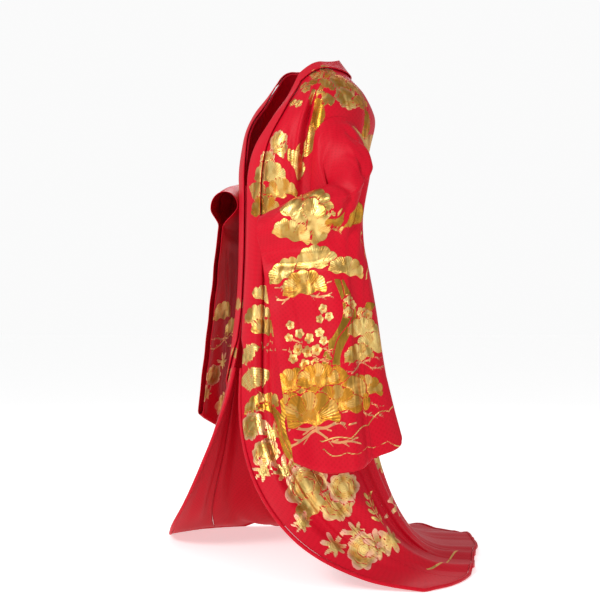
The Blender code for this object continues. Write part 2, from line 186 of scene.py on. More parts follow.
# Pulled folds over the arm: place, half width, lean, start and end round the sleeve, and
# stand-out
ARM_FOLDS = {
    "shoulder fall": (0.13, 0.055, 0.36, 0.00, 0.46, -0.0090),
    "shoulder lip":  (0.22, 0.050, 0.36, 0.00, 0.50, 0.0030),
    "upper fall":    (0.32, 0.050, 0.28, 0.02, 0.42, -0.0070),
    "elbow lip":     (0.44, 0.050, 0.12, 0.00, 0.40, 0.0025),
    "elbow fall":    (0.53, 0.045, 0.02, 0.02, 0.36, -0.0075),
    "forearm fall":  (0.74, 0.050, -0.30, 0.04, 0.34, -0.0055),
}

# Depth of the tuck under the forearm, and of the cloth's slow unevenness
FOREARM_TUCK = 0.0105
SWAY = 0.0016
# Shares round the armhole inside which the body cloth keeps the solid's exact form
QUIET_U = (0.34, 0.42, 0.66, 0.74)
QUIET_V = (0.24, 0.29, 0.41, 0.46)

# Colours, as linear red, green and blue
RED = (0.600, 0.0040, 0.0200)
RED_DEEP = (0.430, 0.0025, 0.0120)
FOIL_PALE = (0.940, 0.700, 0.250)
FOIL_AMBER = (0.760, 0.300, 0.030)
FOIL_OLIVE = (0.360, 0.235, 0.035)
# the dark foil colour below: painted dark reflection, for dark parts of the studio mirrored in
# creased foil, and the colour of the foil's rib stripes
FOIL_STRIPE_AND_REFLECTION_DARK = (0.250, 0.125, 0.014)
BLUSH = (0.880, 0.420, 0.330)

# Signed distance to the nearest figure where there is none, and the ground kept round one
NO_FIGURE = -0.02
FIGURE_GAP = 0.0024

# Lamps: way round from the camera in degrees, height, distance and size in metres, and
# share of the key's power
LAMPS = {
    "key": (-42, 1.5, 3.6, 1.3, 1.0),
    "fill": (50, 0.6, 4.0, 2.6, 0.20),
    "rim": (180, 1.8, 3.2, 1.8, 0.35),
}
LAMP_AIM = (0.0, 0.0, -0.6)
FLOOR_REACH = 24.0
FLOOR_PALE = 0.90
FLOOR_GLOW = 0.51
BACKGROUND_WHITE = 0.96


def ease(value, low, high):
    """0 below low, 1 above high, smooth between."""
    part = np.clip((value - low) / (high - low), 0.0, 1.0)
    return part * part * (3.0 - 2.0 * part)


def mound(distance, half_width):
    """1 at the middle of a fold, 0 at its foot."""
    return 0.5 + 0.5 * np.cos(math.pi * np.clip(distance / half_width, -1.0, 1.0))


def along(rows, share):
    """Smooth curve through a table's rows; share runs from 0 to 1."""
    last = len(rows) - 1
    place = np.clip(share, 0.0, 1.0) * last
    low = np.minimum(place.astype(int), last - 1)
    part = (place - low)[..., None]
    before = rows[np.maximum(low - 1, 0)]
    start = rows[low]
    end = rows[low + 1]
    after = rows[np.minimum(low + 2, last)]
    return 0.5 * (2 * start + (end - before) * part
                  + (2 * before - 5 * start + 4 * end - after) * part ** 2
                  + (3 * start - before - 3 * end + after) * part ** 3)


BODY = np.array(list(BODY_LEVELS.values()), dtype=float)
SLEEVE = np.array(list(SLEEVE_PLACES.values()), dtype=float)


def pleat(phase):
    """A wave from about -1 to 1 with narrow crests and round troughs, like pulled cloth."""
    return 1.1 - 2.0 * np.sqrt(np.sin(phase / 2.0) ** 2 + 0.02)


def fold_sum(folds, u, v):
    total = np.zeros(np.shape(u))
    for place, half_width, start, full, end, out, lean in folds.values():
        run = ease(v, start, full) * (1.0 - ease(v, end - 0.12, end))
        total = total + out * run * mound(u - place - lean * (v - start), half_width)
    return total


def ripple(a, b, seed):
    """Slow uneven ripple of about +-1 from a few crossed waves."""
    total = 0.0
    for number in range(5):
        turn = seed * 1.7 + number * 2.399
        pitch = 5.0 + 3.1 * number
        total = total + np.sin(pitch * (a * math.cos(turn) + b * math.sin(turn)) + turn * 3)
    return total / 3.0


def body_surface(side, u, v, fine=True):
    """Outer face of the body cloth: u 0 centre back to 1 front edge, v 0 neck to 1 hem."""
    u, v = np.broadcast_arrays(np.asarray(u, float), np.asarray(v, float))
    (width, back, front, side_z, back_z, front_z, end_left, end_right, turn, shift,
     pull, _) = np.moveaxis(along(BODY, v), -1, 0)
    end = np.radians(end_left if side > 0 else end_right)
    angle = math.pi / 2 + (end - math.pi / 2) * u
    cos, sin = np.cos(angle), np.sin(angle)
    draw = 1.0 - pull * np.where(sin > 0, np.sin(2 * angle) ** 2, 0.0)
    fold = fold_sum(BODY_FOLDS, u, v)
    if fine:
        quiet = ease(u, 0.0, 0.03) * (1.0 - ease(u, 0.97, 1.0))
        creases = fold_sum(BODY_CREASES, u, v) * quiet
        sway = SWAY * ripple(u * 2.0, v * 3.0, 2.0 + side) * ease(v, 0.10, 0.22) * quiet
        hole = 1.0 - (ease(u, *QUIET_U[:2]) - ease(u, *QUIET_U[2:])) * (
            ease(v, *QUIET_V[:2]) - ease(v, *QUIET_V[2:]))
        fold = fold + (creases + sway) * hole
    lying = ease(v, 0.84, 0.97)
    x = side * (width * cos * draw + fold * (1.0 - lying) * cos + SEAM_GAP / 2)
    y = np.where(sin > 0, back, front) * sin * draw + fold * (1.0 - lying) * sin
    z = side_z + np.where(sin > 0, back_z - side_z, front_z - side_z) * sin * sin
    z = z + np.maximum(fold, 0.0) * lying
    swing = np.radians(turn)
    return np.stack([x * np.cos(swing) - y * np.sin(swing) + shift,
                     x * np.sin(swing) + y * np.cos(swing),
                     z + FLOOR_Z], -1)


def body_layer(side, u, v, lift):
    """The body surface moved outwards by lift, inwards where lift is negative."""
    u, v = np.broadcast_arrays(np.asarray(u, float), np.asarray(v, float))
    step = 1e-3
    across = body_surface(side, u + step, v) - body_surface(side, u - step, v)
    down = (body_surface(side, u, np.minimum(v + step, 1.0))
            - body_surface(side, u, np.maximum(v - step, 0.0)))
    normal = np.cross(across, down) * side
    normal /= np.linalg.norm(normal, axis=-1, keepdims=True)
    return body_surface(side, u, v) + normal * lift


def okumi_share(v):
    return along(BODY, np.asarray(v, float))[..., -1]


def side_reach(y, height):
    rows = along(BODY, np.linspace(0.0, 1.0, 241))
    order = np.argsort(rows[:, 3])
    width, back, front = (np.interp(height, rows[order, 3], rows[order, k]) for k in range(3))
    depth = np.where(y > 0, back, front)
    return width * np.sqrt(np.maximum(1.0 - (y / depth) ** 2, 0.0))


def sleeve_surface(side, s, w):
    """Outer face of a sleeve: s 0 armhole to 1 wrist; w -1 bottom, up the outer layer,
    0 the fold over the arm, down the inner layer to 1, the bottom again."""
    s, w = np.broadcast_arrays(np.asarray(s, float), np.asarray(w, float))
    row = along(SLEEVE, s)
    top, under, hem = row[..., 0:3].copy(), row[..., 3:6].copy(), row[..., 6:9].copy()
    arm, pinch, facing = row[..., 9], row[..., 10], np.radians(row[..., 11])
    if side < 0:
        lift = np.stack([-RIGHT_WRIST_IN * s ** 4, 0 * s, RIGHT_WRIST_RISE * s], -1)
        top, under = top + lift, under + lift
        hem = hem + np.stack([RIGHT_HEM_OUT * s, RIGHT_HEM_FRONT * s,
                              RIGHT_HEM_RISE * (0.2 + 0.8 * s)], -1)
    share = np.abs(w)
    bend = np.clip(share / ARM_SHARE, 0.0, 1.0) * math.pi / 2
    leg = np.clip((share - ARM_SHARE) / (1.0 - ARM_SHARE), 0.0, 1.0)
    tuck = np.clip(leg / UNDER_SHARE, 0.0, 1.0)
    hang = np.clip((leg - UNDER_SHARE) / (1.0 - UNDER_SHARE), 0.0, 1.0)
    shoulder = top - np.stack([0 * arm, 0 * arm, arm * (1.0 - np.cos(bend))], -1)
    centre = shoulder + (under - shoulder) * np.where(leg > 0, tuck, 0.0)[..., None]
    centre = centre + (hem - under) * hang[..., None]
    narrowing = 0.5 - 0.5 * np.cos(math.pi * tuck)
    half = np.where(leg > 0, arm + (pinch - arm) * narrowing, arm * np.sin(bend))
    bag = pinch + (SLEEVE_HEM_HALF - pinch) * np.minimum(hang * 1.4, 1.0) ** 0.8
    turn = np.clip((hang - BOTTOM_FOLD) / (1.0 - BOTTOM_FOLD), 0.0, 1.0)
    half = np.where(hang > 0, bag * np.sqrt(1.0 - turn ** 2), half)
    # creases and folds over the arm, quiet at the armhole and at the cuff
    stray = 1.3 * ripple(s * 1.2, share * 2.0, 3.0 + side)
    crease = np.zeros(s.shape)
    for place, half_width, middle, half_turn, out, pitch, turns in ARM_CREASES.values():
        crease = crease + out * mound(s - place, half_width) * mound(
            share - middle, half_turn) * pleat(pitch * s + turns * share + stray)
    for place, half_width, lean, start, end, out in ARM_FOLDS.values():
        run = ease(share, start - 0.08, start + 0.08) * (1.0 - ease(share, end - 0.16, end))
        crease = crease + out * run * mound(s - place - lean * share - 0.02 * stray, half_width)
    crease = crease * ease(s, 0.02, 0.10) * (1.0 - ease(s, 0.94, 1.0))
    crease = crease * (0.35 + 0.65 * ease(-w, -0.08, 0.04))
    folds = np.zeros(s.shape)
    for place, half_width, start, lean, out in SLEEVE_FOLDS.values():
        folds = folds + out * ease(hang, start, start + 0.25) * mound(
            s - place - lean * hang, half_width)
    for place, half_width, start, lean, out in SLEEVE_CREASES.values():
        folds = folds + out * ease(hang, start, start + 0.2) * mound(
            s - place - lean * hang, half_width) * (1.0 - 0.6 * hang)
    folds = folds + SWAY * ripple(s * 1.4, hang * 2.4, 5.0 + side) * ease(hang, 0.0, 0.2)
    # the bag hangs back from under the forearm
    tucked = mound(hang - 0.05 - 0.04 * (1.0 - s), 0.05) * ease(s, 0.35, 0.75)
    folds = folds - FOREARM_TUCK * tucked * (1.0 - ease(s, 0.85, 1.0)) * np.where(w < 0, 1.0, 0.3)
    outward = np.stack([np.cos(facing), np.sin(facing), 0 * facing], -1)
    centre = centre + outward * (folds * ease(s, 0.0, 0.1))[..., None]
    point = centre - outward * (half * np.sign(w))[..., None]
    point = point - outward * (crease * np.sin(bend) * np.sign(w))[..., None]
    point[..., 2] += crease * np.cos(bend)
    seat = side_reach(point[..., 1], point[..., 2]) + SLEEVE_SEAM
    sewn = np.clip(1.0 - s / SEAM_REACH[0], 0.0, 1.0) * np.clip(1.0 - hang / SEAM_REACH[1], 0, 1)
    point[..., 0] = point[..., 0] + (seat - point[..., 0]) * sewn
    return point * np.array([side, 1.0, 1.0]) + np.array([0.0, 0.0, FLOOR_Z])


class Cloth:
    """A grid of places on one panel, with the figures that are woven into it."""

    def __init__(self, points, side, outward):
        self.points = points
        self.side = side
        shape = points.shape[:2]
        self.gold = np.full(shape, NO_FIGURE)
        self.tone = np.zeros(shape)
        self.blush = np.zeros(shape)
        self.rib = np.zeros(shape)
        normal = np.cross(np.gradient(points, axis=1), np.gradient(points, axis=0))
        self.normal = outward * normal / (np.linalg.norm(normal, axis=2, keepdims=True) + 1e-12)
        across = np.linalg.norm(np.diff(points, axis=1), axis=2).cumsum(axis=1)
        down = np.linalg.norm(np.diff(points, axis=0), axis=2).cumsum(axis=0)
        self.across = np.pad(across, ((0, 0), (1, 0)))
        self.down = np.pad(down, ((1, 0), (0, 0)))

    def stamp(self, middle, normal, up, figure, size, turn, tone, blush):
        """Lay one figure on the cloth round a point, upright along the cloth."""
        right = np.cross(up, normal)
        away = self.points - middle
        near = (np.linalg.norm(away, axis=2) < size * 1.7) & (self.normal @ normal > 0.15)
        if not near.any():
            return
        x, y = away[near] @ right / size, away[near] @ up / size
        cos, sin = math.cos(math.radians(turn)), math.sin(math.radians(turn))
        x, y = x * cos + y * sin, y * cos - x * sin
        inside, shade, pink, rib = FIGURES[figure](x, y)
        inside = inside * size
        over = (inside > -FIGURE_GAP) | (inside > self.gold[near])
        self.gold[near] = np.where(over, inside, self.gold[near])
        self.tone[near] = np.where(over, np.clip(tone + shade, 0.0, 2.0), self.tone[near])
        self.blush[near] = np.where(over, np.clip(blush * pink, 0.0, 1.0), self.blush[near])
        self.rib[near] = np.where(over, rib, self.rib[near])


def round_at(x, y, cx, cy, radius):
    return radius - np.hypot(x - cx, y - cy)


def pine(x, y):
    """Cloud-shaped pine clump: a fan of lobes over a low wavy foot, parted by fine cuts."""
    inside = round_at(x, y * 1.25, 0.0, 0.0, 0.62)
    shade = np.zeros(x.shape)
    angle = np.arctan2(y + 0.12, x)
    for number in range(7):
        way = math.radians(-8 + 32.7 * number)
        lobe = round_at(x, y, 0.66 * math.cos(way), 0.50 * math.sin(way), 0.27)
        inside = np.maximum(inside, lobe)
        shade = np.where(lobe > 0.0, 0.24 * (-1) ** number, shade)
    foot = y + 0.20 + 0.06 * np.sin(9 * x)
    inside = np.minimum(inside, foot)
    spread = np.hypot(x, y + 0.12)
    cuts = np.abs(np.sin((angle - 0.14) * 5.5)) * spread * 0.18 - 0.010
    inside = np.where(spread > 0.30, np.minimum(inside, cuts), inside)
    return inside, shade, np.zeros(x.shape), angle * 8.0


def plum(x, y):
    """Five round petals with a small heart."""
    inside = round_at(x, y, 0.0, 0.0, 0.30)
    for number in range(5):
        way = math.radians(90 + 72 * number)
        inside = np.maximum(inside, round_at(x, y, 0.52 * math.cos(way),
                                             0.52 * math.sin(way), 0.36))
    spread = np.hypot(x, y)
    ring = np.abs(spread - 0.24) - 0.045
    return (np.minimum(inside, ring), np.where(spread < 0.3, 0.5, 0.0), spread * 0.6,
            np.arctan2(y, x) * 6.0)


def peony(x, y):
    """Rings of frilled petals round a heart."""
    spread, angle = np.hypot(x, y), np.arctan2(y, x)
    outer = 0.78 + 0.17 * np.abs(np.cos(4 * angle + 0.4 * np.sin(3 * angle))) - spread
    inside = outer
    for ring, petals, lag in ((0.58, 6, 0.5), (0.30, 5, 0.1)):
        line = np.abs(spread - ring - 0.07 * np.abs(np.cos(petals / 2 * angle + lag))) - 0.022
        inside = np.minimum(inside, line)
    cuts = np.abs(np.sin(4 * angle)) * spread * 0.25 - 0.012
    inside = np.where(spread > 0.66, np.minimum(inside, cuts), inside)
    shade = 0.22 * np.cos(8 * angle) * (spread > 0.4) + 0.35 * ((spread > 0.3) & (spread < 0.6))
    return inside, shade, ease(spread, 0.62, 0.95), spread * 9.0


def maple(x, y):
    """Seven pointed leaf with cut veins."""
    spread, angle = np.hypot(x, y), np.arctan2(x, y)
    reach = 0.30 + 0.66 * np.abs(np.cos(3.5 * angle)) ** 1.5 * (0.75 + 0.25 * np.cos(angle))
    inside = np.minimum(reach - spread, 0.2)
    cuts = np.abs(np.sin(7 * angle) * spread) * 0.12 - 0.006
    inside = np.where(spread > 0.12, np.minimum(inside, cuts + 0.004), inside)
    return inside, 0.2 * np.cos(7 * angle), ease(spread, 0.2, 0.9), spread * 7.0


def sprig(x, y):
    """A bent stem with paired leaves."""
    bend = x - 0.25 * y * y
    inside = np.minimum(0.035 - np.abs(bend), 0.9 - np.abs(y))
    for number in range(4):
        height = -0.6 + 0.42 * number
        for hand in (-1, 1):
            lx, ly = bend - hand * 0.26, y - height - 0.14
            tilt = lx * 0.75 * hand - ly * 0.66
            long = lx * 0.66 * hand + ly * 0.75
            inside = np.maximum(inside, 0.10 - np.hypot(tilt, long * 0.42))
    return inside, 0.1 * np.sin(9 * y), np.zeros(x.shape), y * 6.0


def trunk(x, y):
    """A leaning old trunk with a fork and a broken bark line."""
    path = 0.16 * np.sin(3.2 * y + 0.6)
    wide = 0.15 - 0.05 * y
    inside = np.minimum(wide - np.abs(x - path), 1.0 - np.abs(y))
    fork = np.minimum(0.07 - np.abs((x - path) * 0.8 - (y + 0.1) * 0.55), 0.45 - np.abs(y - 0.15))
    inside = np.maximum(inside, fork)
    bark = np.abs(x - path - 0.03 * np.sin(8 * y)) - 0.014
    return (np.minimum(inside, bark), 0.15 * np.sin(6 * y + 3 * x), np.zeros(x.shape),
            x * 12.0 + 0.5 * np.sin(5 * y))


def twigs(x, y):
    """Thin boughs that spread sideways below a clump, each with short side twigs."""
    inside = np.full(x.shape, -0.5)
    for hand, drop, bend, reach in ((1, 0.10, 0.9, 0.95), (-1, 0.05, 0.7, 0.90),
                                    (1, -0.12, 0.3, 0.70), (-1, -0.15, 0.35, 0.75)):
        run = x * hand
        path = 0.25 - drop - 0.45 * run * bend + 0.07 * np.sin(7 * run + drop * 20)
        bough = np.minimum(0.020 + 0.014 * (1 - run) - np.abs(y - path) * 0.9,
                           np.minimum(run + 0.05, reach - run))
        inside = np.maximum(inside, bough)
        for number in range(4):
            root = 0.18 + 0.19 * number
            long = run - root
            twig = np.abs(y - (path - 0.55 * long * (-1) ** number * 1.4))
            inside = np.maximum(inside, np.minimum(0.017 - twig * 0.8,
                                                   np.minimum(long, 0.17 - long)))
    return inside, np.full(x.shape, 0.1), np.ones(x.shape), x * 0.0


def feather(x, y):
    """A swept plume of parted barbs."""
    path = 0.35 * x * x
    off = y - path
    wide = 0.34 * np.sqrt(np.clip(1.0 - x * x, 0.0, 1.0))
    inside = np.minimum(wide - np.abs(off), 0.97 - np.abs(x))
    barbs = np.abs(np.sin(13 * x + 5 * np.abs(off))) * 0.06 - 0.010
    return np.minimum(inside, barbs), 0.2 * np.sin(10 * x), np.zeros(x.shape), x * 12.0


def fan(x, y):
    """An open fan with ribs."""
    spread, angle = np.hypot(x, y + 0.6), np.arctan2(x, y + 0.6)
    inside = np.minimum(np.minimum(1.35 - spread, spread - 0.35), (0.85 - np.abs(angle)) * spread)
    ribs = np.abs(np.sin(9 * angle)) * spread * 0.10 - 0.010
    band = np.abs(spread - 0.85) - 0.02
    inside = np.minimum(np.minimum(inside, ribs), band)
    return inside, 0.25 * np.cos(18 * angle), spread * 0.2, spread * 9.0


def outline(x, y):
    """A long cloud outline, drawn as one fine scalloped line."""
    wave = 0.30 * np.sin(2.2 * x) + 0.10 * np.abs(np.sin(6.5 * x))
    inside = np.minimum(0.012 - np.abs(y - wave) * 0.8, 1.0 - np.abs(x))
    return inside, np.zeros(x.shape), np.zeros(x.shape), x * 0.0


def border(x, y):
    """One long line with a slow bend."""
    inside = np.minimum(0.013 - np.abs(y - 0.10 * np.sin(2.6 * x)), 1.0 - np.abs(x))
    return inside, np.zeros(x.shape), np.zeros(x.shape), x * 0.0


FIGURES = {"pine": pine, "plum": plum, "peony": peony, "maple": maple, "sprig": sprig,
           "trunk": trunk, "twigs": twigs, "feather": feather, "fan": fan,
           "outline": outline, "border": border}

# Figures on the sleeves, in runs of one kind, later ones over earlier ones.  Each spot:
# place from armhole to wrist, place round the sleeve (below 0 is the outer layer), size
# in metres, turn in degrees, tone (0 pale foil, 1 amber, 2 olive), and the petal tint
# where there is one
SLEEVE_FIGURES = {
    "left": (
        ("twigs", (0.76, -0.47, 0.085, 0, 0.7, 0.35)),
        ("pine", (0.84, -0.4, 0.058, 8, 0.1), (0.66, -0.38, 0.062, -6, 0.12),
         (0.48, -0.42, 0.05, -12, 0.2), (0.75, -0.45, 0.066, 0, 0.62),
         (0.72, -0.15, 0.056, -20, 0.08), (0.68, -0.19, 0.062, -60, 0.15),
         (0.78, -0.215, 0.06, -35, 0.08), (0.69, -0.255, 0.062, -70, 0.2),
         (0.8, -0.28, 0.056, -10, 0.3)),
        ("sprig", (0.56, -0.275, 0.034, 25, 0.3, 0.3)),
        ("feather", (0.42, -0.285, 0.046, 62, 1.55)),
        ("trunk", (0.56, -0.58, 0.125, -8, 1.75)),
        ("twigs", (0.76, -0.625, 0.07, 160, 0.8, 0.35)),
        ("plum", (0.86, -0.56, 0.014, 10, 0.1, 0.3), (0.81, -0.585, 0.015, 40, 0.05, 0.3),
         (0.88, -0.6, 0.013, 0, 0.35, 0.2), (0.75, -0.6, 0.016, 20, 0.3, 0.2),
         (0.68, -0.585, 0.015, 60, 0.1, 0.3), (0.83, -0.635, 0.017, 35, 0.5, 0.2),
         (0.77, -0.64, 0.018, 5, 0.45, 0.2), (0.71, -0.635, 0.017, 50, 0.4, 0.2),
         (0.87, -0.665, 0.015, 25, 0.4, 0.2), (0.8, -0.68, 0.018, 15, 0.55, 0.2),
         (0.66, -0.61, 0.014, 30, 0.15, 0.3), (0.73, -0.675, 0.014, 65, 0.5, 0.2),
         (0.65, -0.515, 0.015, 15, 0.08, 0.3), (0.62, -0.54, 0.014, 35, 0.05, 0.3),
         (0.67, -0.545, 0.013, 55, 0.1, 0.2), (0.47, -0.51, 0.015, 15, 0.05, 0.3),
         (0.43, -0.53, 0.014, 50, 0.1, 0.3), (0.5, -0.54, 0.016, 5, 0.08, 0.2),
         (0.31, -0.58, 0.017, 25, 0.3, 0.2), (0.25, -0.6, 0.016, 5, 0.25, 0.2)),
        ("twigs", (0.34, -0.735, 0.06, 10, 0.7, 0.35)),
        ("pine", (0.3, -0.64, 0.05, 0, 0.15), (0.22, -0.7, 0.052, -12, 0.2),
         (0.4, -0.69, 0.044, 10, 0.35)),
        ("twigs", (0.45, -0.84, 0.06, -8, 0.7, 0.35)),
        ("pine", (0.44, -0.78, 0.056, 0, 0.55), (0.32, -0.8, 0.048, -15, 0.7)),
        ("twigs", (0.76, -0.905, 0.105, 0, 0.8, 0.35)),
        ("pine", (0.72, -0.79, 0.125, 0, 0.85), (0.84, -0.8, 0.12, 0, 0.95),
         (0.9, -0.75, 0.058, 12, 0.95), (0.72, -0.73, 0.062, -4, 0.9),
         (0.95, -0.83, 0.054, 15, 0.98), (0.62, -0.8, 0.064, -12, 0.85),
         (0.8, -0.84, 0.086, 0, 0.92)),
        ("outline", (0.34, -0.9, 0.11, 0, 0.1), (0.4, -0.95, 0.095, 160, 0.1),
         (0.2, -0.42, 0.08, 70, 0.1)),
        ("feather", (0.1, -0.16, 0.048, 60, 0.15)),
        ("pine", (0.5, 0.5, 0.07, 0, 0.3)),
        ("twigs", (0.5, 0.57, 0.08, 0, 0.7, 0.35)),
        ("pine", (0.7, 0.78, 0.08, 0, 0.6)),
        ("plum", (0.3, 0.66, 0.024, 0, 0.1, 0.2), (0.4, 0.7, 0.02, 30, 0.1, 0.2)),
    ),
    "right": (
        ("pine", (0.75, -0.42, 0.07, 0, 0.15)),
        ("twigs", (0.75, -0.49, 0.08, 0, 0.7, 0.35)),
        ("pine", (0.55, -0.36, 0.056, 10, 0.2)),
        ("plum", (0.45, -0.52, 0.024, 10, 0.1, 0.2), (0.55, -0.56, 0.022, 50, 0.1, 0.2),
         (0.38, -0.58, 0.02, 30, 0.1, 0.2)),
        ("trunk", (0.66, -0.6, 0.11, 8, 1.6)),
        ("pine", (0.4, -0.7, 0.056, 0, 0.3), (0.78, -0.76, 0.06, 0, 0.62),
         (0.55, -0.8, 0.08, 0, 0.66), (0.36, -0.84, 0.06, 0, 0.7)),
        ("twigs", (0.55, -0.87, 0.1, 0, 0.8, 0.35)),
        ("pine", (0.74, -0.22, 0.052, 0, 0.12), (0.86, 0.62, 0.055, 0, 0.15),
         (0.7, 0.66, 0.05, 0, 0.2)),
        ("twigs", (0.8, 0.72, 0.075, 0, 0.7, 0.35)),
        ("maple", (0.8, 0.78, 0.036, 20, 0.1, 0.7)),
        ("peony", (0.9, 0.84, 0.036, 0, 0.1, 0.7)),
        ("maple", (0.97, 0.92, 0.034, 60, 0.1, 0.7), (0.62, 0.86, 0.04, -20, 0.15, 0.7)),
        ("peony", (0.74, 0.92, 0.04, 0, 0.1, 0.6)),
    ),
}
